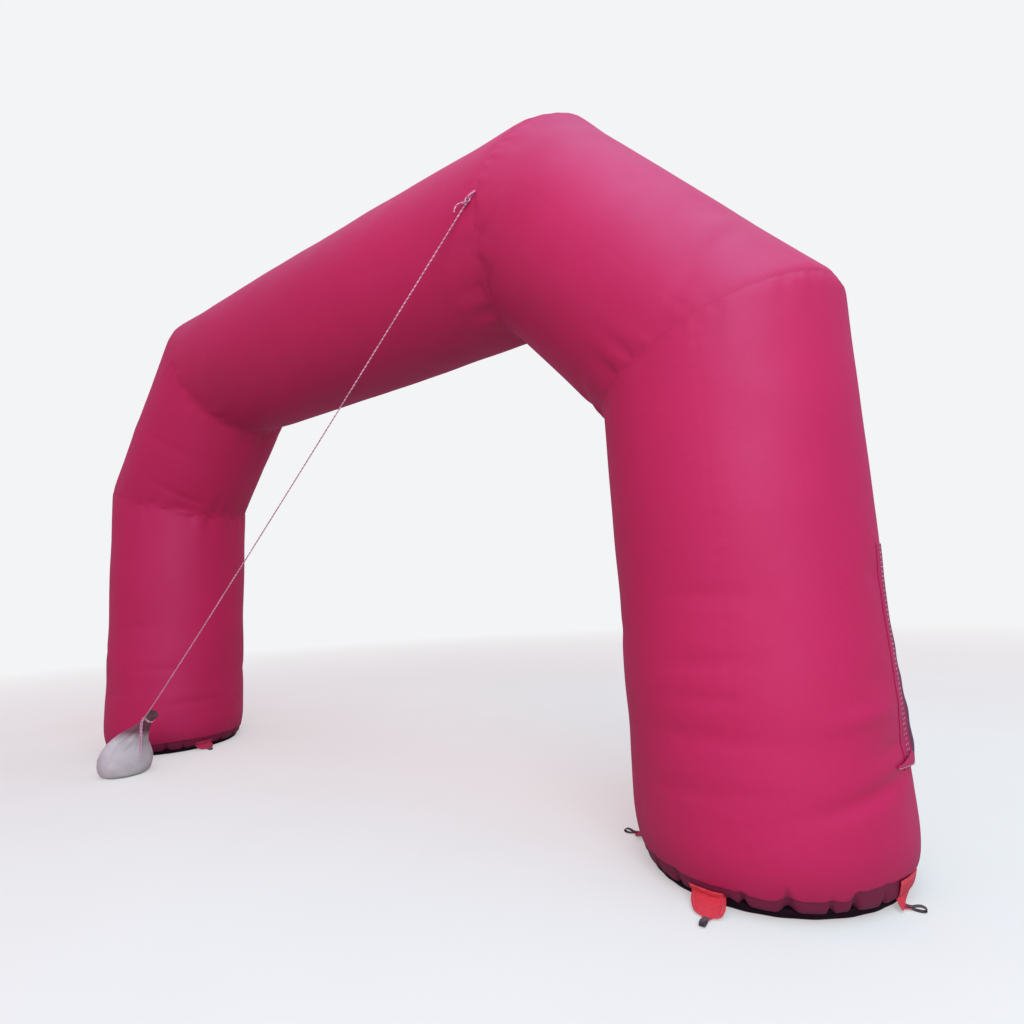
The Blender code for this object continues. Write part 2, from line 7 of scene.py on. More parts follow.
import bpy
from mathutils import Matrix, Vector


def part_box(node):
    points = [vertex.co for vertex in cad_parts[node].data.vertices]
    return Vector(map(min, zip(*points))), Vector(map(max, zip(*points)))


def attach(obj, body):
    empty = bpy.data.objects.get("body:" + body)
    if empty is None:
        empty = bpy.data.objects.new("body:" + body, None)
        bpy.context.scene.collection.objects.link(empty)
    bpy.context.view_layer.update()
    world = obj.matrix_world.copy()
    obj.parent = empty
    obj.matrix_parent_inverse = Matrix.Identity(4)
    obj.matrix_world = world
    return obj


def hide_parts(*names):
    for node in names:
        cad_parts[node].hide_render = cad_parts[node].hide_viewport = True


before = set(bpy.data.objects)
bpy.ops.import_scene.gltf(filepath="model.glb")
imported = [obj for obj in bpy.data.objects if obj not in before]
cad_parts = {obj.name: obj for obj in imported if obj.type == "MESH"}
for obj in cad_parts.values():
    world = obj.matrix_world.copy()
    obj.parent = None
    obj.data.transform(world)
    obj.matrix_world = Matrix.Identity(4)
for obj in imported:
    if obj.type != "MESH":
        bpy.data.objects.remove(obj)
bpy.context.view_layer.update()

import math

import bpy
import numpy as np
from bpy.props import FloatProperty, FloatVectorProperty, IntProperty, PointerProperty
from mathutils import Matrix

bl_info = {
    "name": "Inflatable Arch",
    "version": (1, 0, 0),
    "blender": (4, 5, 0),
    "location": "View3D > Sidebar > Arch",
    "description": "Makes the cloth, sewing and rope of an inflatable arch round its solids",
    "category": "Add Mesh",
}

FRONT = np.array((0.0, -1.0, 0.0))
UP = np.array((0.0, 0.0, 1.0))
TAU = 2 * math.pi
GOLDEN_ANGLE = 2.399

# The arch, along its centrelines
TUBE_RADIUS = 0.71
BEAM_SWELL = 0.017
LEG_X = float(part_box("base_right")[0].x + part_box("base_right")[1].x) / 2
SHOULDER_Z = 2.84
CROWN_X = 2.17
CROWN_Z = 4.167
RIGHT_CROWN_LEAN = 14.0

# Mitred seams
SEAM_PINCH = 0.003  # how far the stitches draw the cloth in, and from what distance it dips
PINCH_REACH = 0.12
WELT_HALF = (0.0026, 0.0008)  # half the width and half the height of the tape on a seam
WELT_SINK = 0.0003
CROWN_SWELL = 0.019  # how far the cloth bulges at a mitre's outer corner
SHOULDER_SWELL = 0.003
CORNER_REACH = 0.46  # distance from a seam where a tube starts to take the mitre's outline
BEND_REACH = 0.075  # distance from a seam where a tube starts to round into the next
GAP = 0.0003  # distance between two skins at their seam
RELIEF_REACH = 0.03  # distance from a seam where the soft relief reaches its full depth
STITCH_OFFSET = 0.011  # distance of a row of stitches from its seam
SEAM_SHADE = 0.02  # share of the painted shade tone beside a seam, and half the width of its band
SEAM_SHADE_HALF = 0.010

# Feet
FOOT_RADIUS = 0.635
FOOT_LIFT = float(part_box("leg_right")[0].z)
FOOT_TOP = 0.34
FOOT_POWER = 0.95
BASE_RADIUS = 0.637
BASE_FLOOR = 0.620
BASE_TOP = float(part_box("base_right")[1].z)
BASE_RIPPLE = 0.0016

# Section of a base: distance from its middle, height
BASE_PROFILE = (
    (BASE_FLOOR - 0.10, 0.0),
    (BASE_FLOOR - 0.02, 0.0),
    (BASE_FLOOR - 0.004, 0.0012),
    (BASE_RADIUS - 0.006, 0.0085),
    (BASE_RADIUS, 0.020),
    (BASE_RADIUS + 0.0005, 0.032),
    (BASE_RADIUS - 0.004, 0.0425),
    (BASE_RADIUS - 0.014, BASE_TOP),
    (BASE_RADIUS - 0.10, BASE_TOP),
)

# Grids: points round and along a skin
LEG_AROUND = 480
LEG_FOOT_ROWS = 48
FOOT_STEPS = ((0.0, 0.0), (0.15, 0.17), (0.65, 0.56), (1.0, 1.0))  # closer rows about the hem
LEG_MIDDLE_ROWS = 80
LEG_TOP_ROWS = 54
LEG_BLEND = 2.00  # height where a leg's even rows end and its rows towards the seam start
LEG_CROWDING = 0.22  # how much closer the rows stand near a leg's seam, and near a span's two
SPAN_CROWDING = 0.115
TUBE_AROUND = 320
BASE_AROUND = 240
BASE_ROWS = 30
BEAM_ROWS = 200
SLANT_ROWS = 130
SEAM_AROUND = 481

# Soft waists round a leg: height, depth, half height
LEG_WAISTS = (
    (0.75, 0.006, 0.14),
    (1.40, 0.009, 0.30),
)

# Lengthwise sewn joins of the cloth, the same on every tube
GORE_TURNS = (84.0, 204.0, 324.0)
GORE_DEPTH = 0.0008
GORE_WIDTH = 0.018
GORE_PUCKER = 0.0006  # depth, pitch and half width of the small puckers beside a join
GORE_PUCKER_PITCH = 0.09
GORE_PUCKER_WIDTH = 0.050

# Pleats of the gathered edge: turn, share of the full depth, half width in degrees, height
PLEATS = (
    (4.0, 0.70, 1.3, 0.060),
    (33.0, 0.65, 1.2, 0.070),
    (46.5, 1.00, 1.3, 0.080),
    (56.0, 0.75, 1.0, 0.060),
    (71.5, 1.00, 2.1, 0.120),
    (88.0, 0.85, 1.3, 0.070),
    (94.0, 0.55, 2.6, 0.045),
    (117.0, 0.80, 1.4, 0.080),
    (131.0, 0.65, 1.1, 0.060),
    (146.0, 0.85, 1.9, 0.090),
    (160.0, 0.70, 1.2, 0.070),
    (196.0, 0.80, 1.6, 0.080),
    (214.0, 1.00, 1.3, 0.110),
    (229.0, 0.70, 1.2, 0.060),
    (247.0, 0.95, 1.7, 0.100),
    (265.0, 0.80, 1.2, 0.070),
    (300.0, 0.95, 1.5, 0.090),
    (318.0, 0.75, 1.2, 0.060),
    (337.0, 0.90, 1.8, 0.100),
)

# Lower edge of the cloth that bulges between the pleats: turn, height above the gathered edge
HEM_RISES = (
    (0.0, 0.080),
    (25.0, 0.092),
    (46.0, 0.085),
    (50.0, 0.052),
    (64.0, 0.056),
    (78.0, 0.050),
    (96.0, 0.058),
    (125.0, 0.070),
    (160.0, 0.080),
    (200.0, 0.070),
    (240.0, 0.060),
    (290.0, 0.070),
    (330.0, 0.065),
    (360.0, 0.080),
)
HEM_TUCK = 0.009  # how far the cloth tucks in under its bulging edge, and over what height
HEM_ROLL = 0.007
EDGE_BAND = 0.045  # height over which the gathered edge bulges, sags between pleats and lifts
EDGE_BULGE = 0.005
EDGE_SAG = 0.007
EDGE_LIFT = 0.010
EDGE_UNEVEN = 0.003
EDGE_INWARD = 0.016  # how far the last row reaches in over the base, and its height off it
EDGE_OFF = 0.0015

# Soft folds of the cloth: turn, distance along the tube from its start, how far they stand out,
# half turn, half length, and how far they climb along the tube for each degree
FOLDS = {
    "leg_right": (
        (93.0, 1.448, -0.0050, 16.0, 0.040, 0.0004),
        (96.0, 1.119, -0.0060, 20.0, 0.045, -0.0005),
        (98.0, 0.957, -0.0055, 15.0, 0.035, 0.0004),
        (98.0, 0.775, -0.0070, 24.0, 0.050, 0.0003),
        (104.0, 0.520, -0.0060, 30.0, 0.045, -0.0003),
        (30.0, 0.860, 0.0130, 17.0, 0.045, -0.0010),
        (20.0, 0.690, -0.0130, 13.0, 0.045, -0.0010),
        (30.0, 0.525, -0.0200, 24.0, 0.045, -0.0022),
        (16.0, 1.500, -0.0080, 7.0, 0.070, 0.0),
        (22.0, 1.010, -0.0060, 9.0, 0.050, 0.0),
        (60.0, 1.860, 0.0040, 30.0, 0.120, 0.0010),
        (150.0, 1.250, -0.0060, 22.0, 0.060, 0.0008),
        (215.0, 0.900, -0.0070, 26.0, 0.050, -0.0006),
        (262.0, 0.620, -0.0080, 20.0, 0.050, 0.0008),
        (250.0, 1.500, 0.0050, 30.0, 0.090, 0.0),
        (318.0, 1.150, -0.0060, 18.0, 0.050, 0.0010),
    ),
    "leg_left": (
        (120.0, 1.360, -0.0050, 22.0, 0.050, 0.0006),
        (140.0, 0.900, -0.0060, 26.0, 0.050, -0.0005),
        (95.0, 0.640, -0.0070, 20.0, 0.050, 0.0006),
        (60.0, 1.100, -0.0060, 18.0, 0.050, 0.0),
        (170.0, 0.520, -0.0080, 20.0, 0.045, 0.0),
        (200.0, 1.250, 0.0050, 24.0, 0.080, -0.0006),
        (250.0, 0.800, -0.0070, 26.0, 0.055, 0.0008),
        (320.0, 1.450, -0.0060, 20.0, 0.060, 0.0),
        (15.0, 0.700, -0.0060, 20.0, 0.050, 0.0006),
    ),
    "slant_left": (
        (150.0, 0.420, -0.0090, 26.0, 0.045, -0.0010),
        (120.0, 0.900, -0.0050, 30.0, 0.060, 0.0006),
        (205.0, 1.250, -0.0080, 26.0, 0.050, 0.0010),
        (60.0, 0.750, 0.0050, 30.0, 0.100, 0.0),
        (260.0, 0.800, -0.0060, 24.0, 0.060, 0.0),
    ),
    "slant_right": (
        (146.0, 0.250, -0.0150, 20.0, 0.040, -0.0022),
        (110.0, 0.120, -0.0080, 12.0, 0.035, -0.0030),
        (172.0, 1.300, -0.0110, 26.0, 0.050, 0.0010),
        (70.0, 1.560, -0.0100, 24.0, 0.050, 0.0026),
        (48.0, 1.420, 0.0080, 20.0, 0.060, 0.0026),
        (95.0, 0.900, 0.0060, 34.0, 0.120, 0.0010),
        (230.0, 0.600, -0.0070, 26.0, 0.060, 0.0),
        (300.0, 1.100, -0.0070, 22.0, 0.060, -0.0010),
    ),
    "beam": (
        (165.0, 4.060, -0.0130, 24.0, 0.050, -0.0026),
        (150.0, 3.780, 0.0060, 24.0, 0.060, -0.0020),
        (185.0, 0.420, -0.0090, 26.0, 0.050, 0.0),
        (110.0, 2.900, 0.0050, 30.0, 0.200, 0.0),
        (75.0, 1.300, -0.0040, 26.0, 0.120, 0.0010),
        (250.0, 2.000, -0.0060, 26.0, 0.090, 0.0),
        (300.0, 3.300, -0.0050, 24.0, 0.100, 0.0),
    ),
}

# Long soft waves of the cloth: waves round the tube, waves a metre along it, share of their depth
SOFT_WAVES = (
    (3, 0.62, 1.00),
    (5, 0.41, 0.70),
    (2, 1.30, 0.55),
    (7, 1.05, 0.40),
    (4, 2.10, 0.30),
    (11, 1.70, 0.20),
)

# Anchor tabs: turn of their middle, angles on the foot's rounding where the sewn part ends and
# starts, turn and radius of the tip, the way the tip points (outwards, frontwards)
TABS = {
    "front": (102.5, 30.0, 12.0, 98.0, 0.80, (0, 1)),
    "outer": (17.5, 46.0, 12.0, 21.0, 0.70, (1, 0)),
    "back": (282.5, 30.0, 12.0, 282.5, 0.79, (0, -1)),
    "inner": (177.5, 30.0, 12.0, 177.5, 0.79, (-1, 0)),
}
TAB_TURN = 7.5  # half the turn that a tab takes up on the foot
TAB_TIP_Z = 0.0085
TAB_TIP_FLAT = 0.030
TAB_TIP_HALF = 0.014
TAB_LEAVE = 0.8  # powers of the way: below 1 the cloth leaves the skin early, above 1 it
TAB_SETTLE = 2.0  # comes down on the floor late
TAB_SHAPE = (  # share of the way to the tip, half the width there
    (0.0, 0.0865),
    (0.35, 0.080),
    (0.70, 0.060),
    (1.0, 0.028),
)
TAB_CLOTH = 0.0026
TAB_LIFT = 0.0032
TAB_COLUMNS = 25
TAB_SEWN_ROWS = 9
TAB_FREE_ROWS = 26
TAB_STITCH = (0.0055, 0.0085)  # length and pitch

# Webbing loops at the tabs' tips: distance past the tip, height above the floor
LOOP_THICK = 0.0024
LOOP_WIDTH = 0.025
LOOP_POINTS = 72
STRAP_COLUMNS = 7
LOOP_PATH = (
    (-0.0220, 0.00695),
    (0.0000, 0.00600),
    (0.0120, 0.00320),
    (0.0300, 0.00225),
    (0.0460, 0.00420),
    (0.0550, 0.01100),
    (0.0500, 0.02000),
    (0.0340, 0.02400),
    (0.0140, 0.02000),
    (0.0000, 0.01420),
    (-0.0220, 0.01305),
)

# Zip flap on the outer side of the right leg: height, stand-off of its middle, of its free edge
FLAP_THICK = 0.0026
FLAP_FRONT_TURN = 10.0
FLAP_BACK_TURN = -5.0
FLAP_MIDDLE = 0.667  # share of the width where the stand-off of the middle is reached
FLAP_OFF = 0.0022
FLAP_RIPPLE = 0.0025  # depth and pitch of the ripples, which are deepest at the given height
FLAP_RIPPLE_PITCH = 0.19
FLAP_RIPPLE_HEIGHT = 0.85
FLAP_FLAT_WIDTH = 0.19
FLAP_POINTS = 150
FLAP_COLUMNS = 17
FLAP_STITCH = (0.014, 0.024, 0.0013)  # length, pitch and radius
FLAP_ROWS = (
    (0.568, 0.009, 0.016),
    (0.620, 0.016, 0.024),
    (0.750, 0.020, 0.026),
    (0.900, 0.009, 0.014),
    (1.000, 0.003, 0.006),
    (1.300, 0.001, 0.002),
    (1.660, 0.001, 0.002),
)

# Lip of the flap, folded out at its lower end
LIP_TURN = 19.0
LIP_TURN_WIDTH = 23.0
LIP_HEIGHT = 0.600  # height of its fold, and how far that drops towards the outer edge
LIP_DROP = 0.038
LIP_TALL = (0.012, 0.085)  # its height at the inner edge, and what the outer edge adds
LIP_LIFT = (0.0085, 0.010, 0.007)  # its stand-off, what the outer edge adds, and its curl
LIP_FLAT = (0.28, 0.06)
LIP_THICK = 0.0022
LIP_STITCH = (0.010, 0.012, 0.0016)  # length, pitch and radius

# Guy loop on the right crown seam: distance down the rope's line, distance from the cloth
GUY_LOOP_WIDTH = 0.020
GUY_LOOP_POINTS = 60
GUY_LOOP_PATH = (
    (0.0000, 0.0025),
    (0.0200, 0.0075),
    (0.0450, 0.0120),
    (0.0580, 0.0130),
    (0.0665, 0.0205),
    (0.0580, 0.0280),
    (0.0450, 0.0280),
    (0.0200, 0.0170),
    (0.0000, 0.0060),
)

# Rope, with the places of its knots and the routes of its free runs
ROPE_RADIUS = 0.005
ROPE_SIDES = 15
ROPE_STEP = 0.0036
ROPE_POINTS = 400  # points of the smoothed guy rope, and of a loose end
END_POINTS = 160
RING_POINTS = 65
TURN_POINTS = 97
BIGHT_RADIUS = 0.019
BIGHT_ALONG = 0.071
BIGHT_OUT = 0.0205
HITCH_ALONG = 0.099
HITCH_RADIUS = 0.0098
HITCH_PITCH = 0.0088
TIE_SHIFT = 0.0052  # half the distance between the two turns round the sack's neck
TIE_OFF = 0.0015
KNOT_PLACE = np.array((-2.090, -0.875, 0.520))
ROPE_ROUTE = (
    (1.9263, -0.7242, 4.0893),
    (1.810, -0.728, 3.984),
    (1.640, -0.734, 3.829),
    (1.400, -0.743, 3.611),
    (1.100, -0.755, 3.338),
    (0.800, -0.766, 3.067),
    (0.450, -0.780, 2.751),
    (0.100, -0.793, 2.437),
    (-0.250, -0.806, 2.124),
    (-0.600, -0.819, 1.812),
    (-0.950, -0.832, 1.502),
    (-1.250, -0.843, 1.238),
    (-1.550, -0.855, 0.976),
    (-1.800, -0.864, 0.760),
    (-1.970, -0.870, 0.618),
    (-2.0775, -0.8745, 0.5312),
)
GUY_TAIL_ROUTE = (
    (1.9250, -0.7298, 4.1077),
    (1.912, -0.735, 4.113),
    (1.896, -0.740, 4.114),
    (1.880, -0.744, 4.108),
    (1.868, -0.747, 4.096),
    (1.860, -0.749, 4.080),
    (1.856, -0.750, 4.060),
)
TIE_ROUTES = {
    "tie_end_long": (
        (-2.0852, -0.8837, 0.5056),
        (-2.082, -0.890, 0.487),
        (-2.081, -0.893, 0.460),
        (-2.081, -0.894, 0.420),
        (-2.081, -0.894, 0.370),
        (-2.080, -0.894, 0.320),
        (-2.080, -0.894, 0.270),
        (-2.080, -0.894, 0.220),
        (-2.079, -0.894, 0.170),
    ),
    "tie_end_short": (
        (-2.1006, -0.8837, 0.5085),
        (-2.106, -0.891, 0.491),
        (-2.108, -0.894, 0.466),
        (-2.108, -0.895, 0.430),
        (-2.108, -0.895, 0.385),
        (-2.109, -0.895, 0.340),
        (-2.109, -0.895, 0.295),
        (-2.109, -0.895, 0.255),
    ),
}

# Ballast sack: its middle on the floor, the way its neck leans
SACK_PLACE = np.array((-2.345, -0.917, 0.0))
SACK_RADIUS = 0.22
NECK_HEADING = 22.0
NECK_RADIUS = 0.030
SACK_AROUND = 200
SACK_ROWS = 130

# Sections of the sack: distance towards the neck, height, radius, tilt in degrees, share of the
# radius that its gathers take
SACK_SECTIONS = (
    (0.000, 0.000, 0.165, 0, 0.00),
    (0.000, 0.028, 0.205, 0, 0.00),
    (0.000, 0.110, 0.228, 0, 0.00),
    (0.010, 0.200, 0.215, 5, 0.00),
    (0.040, 0.270, 0.178, 16, 0.03),
    (0.092, 0.325, 0.130, 30, 0.08),
    (0.148, 0.378, 0.090, 40, 0.14),
    (0.203, 0.442, 0.058, 46, 0.18),
    (0.262, 0.509, 0.036, 48, 0.00),
    (0.285, 0.532, 0.045, 48, 0.16),
    (0.308, 0.554, 0.052, 48, 0.24),
)
TIE_SECTION = 8

# Camera: its place, and the directions of the picture's right, down and depth
CAMERA_PLACE = (4.1708, -3.6007, 1.5051)
CAMERA_RIGHT = (0.8167, 0.5745, -0.0536)
CAMERA_DOWN = (-0.1221, 0.0812, -0.9892)
CAMERA_DEPTH = (-0.5640, 0.8144, 0.1364)
CAMERA_LENS = 20.80
CAMERA_SENSOR = 36.0
FLOOR_HALF = 60.0
FLOOR_FADE = (6.0, 18.0)  # distances where the floor starts and ends its fade to the surround
FLOOR_VEIL = 0.42  # share of the surround's tone on the floor round the arch

# Disk lights: place, target, diameter, name of their power setting, colour
LIGHTS = {
    "side light": ((9.2, -8.6, 6.0), (2.4, 0.0, 1.8), 7.0, "side_power", (1.0, 0.87, 1.0)),
    "fill light": ((-0.7, -7.6, 2.7), (2.6, 0.0, 2.6), 4.0, "fill_power", (1.0, 0.70, 0.85)),
    "top light": ((0.5, 5.0, 20.0), (0.5, 4.9, 0.0), 40.0, "top_power", (0.85, 1.0, 1.0)),
    "over light": ((7.0, -2.0, 12.0), (2.8, -0.1, 3.2), 9.0, "over_power", (0.05, 0.80, 1.0)),
}

# Specular level of the coated cloths
ROSE_GLOSS = 0.72
TAB_GLOSS = 0.3
BASE_GLOSS = 0.06


# ---------------------------------------------------------------- numbers and curves


def unit(vectors):
    """Each vector divided by its length."""
    return vectors / np.linalg.norm(vectors, axis=-1, keepdims=True)


def bell(distance, half):
    """exp(-(distance / half)^2): 1 at 0, about a third at the half width."""
    return np.exp(-((distance / half) ** 2))


def fade(distance, reach):
    """The square of 1 minus distance over reach: 1 at a seam, 0 from the given reach on."""
    return np.clip(1 - distance / reach, 0, None) ** 2


def dome(distance, reach):
    """The square of 1 minus the squared share of the reach: level at a seam, 0 from the reach on."""
    return np.clip(1 - (distance / reach) ** 2, 0, None) ** 2


def turn_gap(turn, degrees):
    """The signed angle from a given turn, in degrees, within half a circle either way."""
    return (np.degrees(turn) - degrees + 180) % 360 - 180


def smooth(rows, count):
    """Catmull-Rom curve through rows: between two rows, the cubic whose slope at each row is
    half the step between that row's neighbours."""
    knots = np.array(rows, float)
    knots = np.vstack([2 * knots[0] - knots[1], knots, 2 * knots[-1] - knots[-2]])
    place = np.linspace(0, len(knots) - 3, count)
    i = np.minimum(place.astype(int), len(knots) - 4)
    t = (place - i)[:, None]
    a, b, c, d = knots[i], knots[i + 1], knots[i + 2], knots[i + 3]
    bend = (2 * a - 5 * b + 4 * c - d) * t**2 + (3 * b - a - 3 * c + d) * t**3
    return (2 * b + (c - a) * t + bend) / 2


def arc_lengths(points):
    """Distance travelled along a line of points, from 0 at its first."""
    steps = np.linalg.norm(np.diff(points, axis=0), axis=1)
    return np.concatenate([[0.0], np.cumsum(steps)])


def row_lengths(grid):
    """The length of each row of a grid of points."""
    return np.linalg.norm(np.diff(grid, axis=1), axis=2).sum(axis=1)


def read_at(line, reach, at):
    """Points or directions of a line at given distances: each coordinate is interpolated."""
    return np.stack([np.interp(at, reach, line[:, k]) for k in range(3)], axis=1)


def even(points, step):
    """The same line with points at an even step."""
    reach = arc_lengths(points)
    at = np.linspace(0, reach[-1], max(2, round(reach[-1] / step)) + 1)
    return read_at(points, reach, at)


def across(vectors, along):
    """The part of each vector that is square to a direction."""
    return vectors - (vectors @ along)[..., None] * along


def waves(turn, at, seed):
    """A sum of sines round and along a tube, each shifted by a phase that the seed sets."""
    total = 0.0
    for k, (around, a_metre, share) in enumerate(SOFT_WAVES):
        phase = seed * (k + 1.7) * GOLDEN_ANGLE
        total = total + share * np.sin(around * turn + TAU * a_metre * at + phase)
    return total


# ---------------------------------------------------------------- meshes


def add_mesh(name, points, faces, material):
    mesh = bpy.data.meshes.new(name)
    mesh.from_pydata(points.tolist(), [], faces)
    mesh.materials.append(material)
    mesh.polygons.foreach_set("use_smooth", [True] * len(mesh.polygons))
    piece = bpy.data.objects.new(name, mesh)
    bpy.context.scene.collection.objects.link(piece)
    return piece


def grid_faces(rows, columns, cells):
    """Corners of the quads of a grid of points: each cell's corner and its three neighbours, the
    last column joining the first where there are as many cells in a row as columns."""
    r, c = np.meshgrid(np.arange(rows - 1), np.arange(cells), indexing="ij")
    after = (c + 1) % columns
    low, high = r * columns, (r + 1) * columns
    return np.stack([low + c, low + after, high + after, high + c], axis=-1).reshape(-1, 4)


def grid_piece(name, grid, material, uv, around=False, caps=False, flip=False, marks=None):
    """A surface through a grid of points (rows, columns, 3).

    uv gives each point's place on the flat cloth, in metres, as (rows, columns + 1, 2) where the
    grid goes around. caps closes the first and last rows with fans from their middles. flip winds
    the faces the other way. marks are extra values at the points, as {name: (rows, columns)}.
    """
    rows, columns = grid.shape[:2]
    cells = columns if around else columns - 1
    order = -1 if flip else 1
    points = grid.reshape(-1, 3)
    faces = grid_faces(rows, columns, cells)[:, ::order].tolist()
    flat = uv[:-1, :-1], uv[:-1, 1:], uv[1:, 1:], uv[1:, :-1]
    corners = np.stack([f[:, :cells] for f in flat], axis=2).reshape(-1, 4, 2)
    corners = corners[:, ::order].reshape(-1, 2)
    values = {key: value.reshape(-1) for key, value in (marks or {}).items()}
    if caps:
        count = len(points)
        points = np.vstack([points, grid[0].mean(axis=0), grid[-1].mean(axis=0)])
        k = np.arange(columns)
        after = (k + 1) % columns
        last = (rows - 1) * columns
        low = np.stack([np.full(columns, count), after, k], axis=1)
        high = np.stack([np.full(columns, count + 1), last + k, last + after], axis=1)
        fans = np.vstack([low, high])
        faces += fans[:, ::order].tolist()
        corners = np.vstack([corners, points[fans][..., :2].reshape(-1, 2)])
        values = {key: np.append(value, (1.0, 1.0)) for key, value in values.items()}
    piece = add_mesh(name, points, faces, material)
    layer = piece.data.uv_layers.new(name="Cloth")
    layer.data.foreach_set("uv", corners.astype(np.float32).ravel())
    for key, value in values.items():
        attribute = piece.data.attributes.new(key, "FLOAT", "POINT")
        attribute.data.foreach_set("value", value.astype(np.float32))
    return piece


def tube_piece(name, grid, material, radius, turn, along, marks, flip=False, caps=True):
    """A grid that goes round a tube. Its flat places are the arc length round it, at the given
    radius, and the length along it; the last column is repeated past the full turn."""
    u = np.append(turn, turn[0] + TAU) * radius
    v = np.concatenate([along, along[:, :1]], axis=1)
    uv = np.stack([np.broadcast_to(u, v.shape), v], axis=-1)
    return grid_piece(name, grid, material, uv, True, caps, flip, marks)


def sheet_piece(name, grid, material, thickness, wide, down, marks=None):
    """A sheet of cloth through a grid, with its thickness half to either side. Its flat places are
    the widths across it and the lengths down it."""
    uv = np.stack(np.meshgrid(wide, down), axis=-1)
    piece = grid_piece(name, grid, material, uv, marks=marks)
    wall = piece.modifiers.new("Cloth", "SOLIDIFY")
    wall.thickness = thickness
    wall.offset = 0.0
    wall.use_even_offset = True
    return piece


def finish_piece(piece, slot, *nodes):
    """The piece rides on the arch and stands for the given solids. slot is not used."""
    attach(piece, "root")
    if nodes:
        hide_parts(*nodes)
    return piece


def frames(path, reference):
    """Directions along a line of points, and two square to it: the cross product with a fixed
    reference, and the cross product of those two."""
    along = unit(np.gradient(path, axis=0))
    side = unit(np.cross(along, np.broadcast_to(reference, along.shape)))
    return along, side, np.cross(along, side)


def stitch_row(path, normals, length, pitch, radius):
    """Short threads along a line, each a spindle of four sides: its two ends go into the cloth
    and its middle stands proud along the cloth's normal."""
    reach = arc_lengths(path)
    middles = np.arange(pitch / 2, reach[-1], pitch)
    start = read_at(path, reach, middles - length / 2)
    end = read_at(path, reach, middles + length / 2)
    normal = unit(read_at(normals, reach, middles))
    side = unit(np.cross(end - start, normal)) * radius
    middle = (start + end) / 2 + normal * radius * 0.6
    lift = normal * radius
    rim = [middle + side, middle + lift, middle - side, middle - lift]
    points = np.stack([start - lift * 0.5, end - lift * 0.5, *rim], axis=1).reshape(-1, 3)
    one = np.array(
        [(0, 2, 3), (0, 3, 4), (0, 4, 5), (0, 5, 2), (1, 3, 2), (1, 4, 3), (1, 5, 4), (1, 2, 5)]
    )
    faces = (one[None] + 6 * np.arange(len(middles))[:, None, None]).reshape(-1, 3)
    return points, faces


def stitches_piece(name, rows, material, slot):
    """All the rows of stitches of a piece as one mesh."""
    points, faces, base = [], [], 0
    for row_points, row_faces in rows:
        points.append(row_points)
        faces.append(row_faces + base)
        base += len(row_points)
    piece = add_mesh(name, np.vstack(points), np.vstack(faces).tolist(), material)
    return finish_piece(piece, slot)


# ---------------------------------------------------------------- tubes


class Tube:
    """A straight run of the arch between two points of its centreline."""

    def __init__(self, start, end):
        self.start = np.array(start, float)
        self.end = np.array(end, float)
        self.along = unit(self.end - self.start)
        square = np.array((-self.along[2], 0.0, self.along[0]))
        self.out = square * np.sign(square @ (self.start + self.end))

    def side(self, turn):
        """cos(turn) times the outer direction plus sin(turn) times the front direction."""
        return np.cos(turn)[..., None] * self.out + np.sin(turn)[..., None] * FRONT

    def turns_left(self, way):
        """Whether a growing turn goes clockwise to someone who looks back from the given way."""
        return np.cross(self.out, FRONT) @ way < 0


class Seam:
    """The ring where two tubes meet: the host's cylinder cut by a leaning plane through the
    mitre's inner corner, bent where it has to be so that it reaches the mitre's outer corner.
    Its swell is how far it bulges there. Its ease is the move into the bend that rounds the
    corner: half the bend's reach times the rise."""

    def __init__(self, corner, host, bend, lean, towards, swell):
        self.corner = np.array(corner, float)
        self.host = host
        self.rise = math.tan(lean)
        self.outer_rise = math.tan(bend / 2)
        self.inset = TUBE_RADIUS * self.outer_rise
        self.towards = towards * host.along
        self.swell = swell
        self.slope = unit(host.out + self.rise * self.towards)
        self.middle = self.corner + self.towards * (TUBE_RADIUS * self.rise - self.inset)
        self.normal = unit(np.cross(self.slope, FRONT))
        bisector = unit(host.out + self.outer_rise * self.towards)
        self.ease = -BEND_REACH * self.outer_rise / 2 * bisector

    def smooth(self, turn):
        """Corner, plus radius times the side direction, plus a reach along the host of radius
        times (1 + cos turn) times the plane's rise, less the inset of the inner corner. On the
        outer half it moves out by the swell times cos(turn) squared."""
        outer = np.clip(np.cos(turn), 0, None) ** 2
        rise = self.rise + outer * (self.outer_rise - self.rise)
        reach = TUBE_RADIUS * (1 + np.cos(turn)) * rise - self.inset
        point = self.corner + TUBE_RADIUS * self.host.side(turn) + reach[..., None] * self.towards
        return point + (self.swell * outer)[..., None] * self.slope

    def stitched(self, turn):
        point = self.smooth(turn)
        return point + (self.middle - point) * (SEAM_PINCH / TUBE_RADIUS)


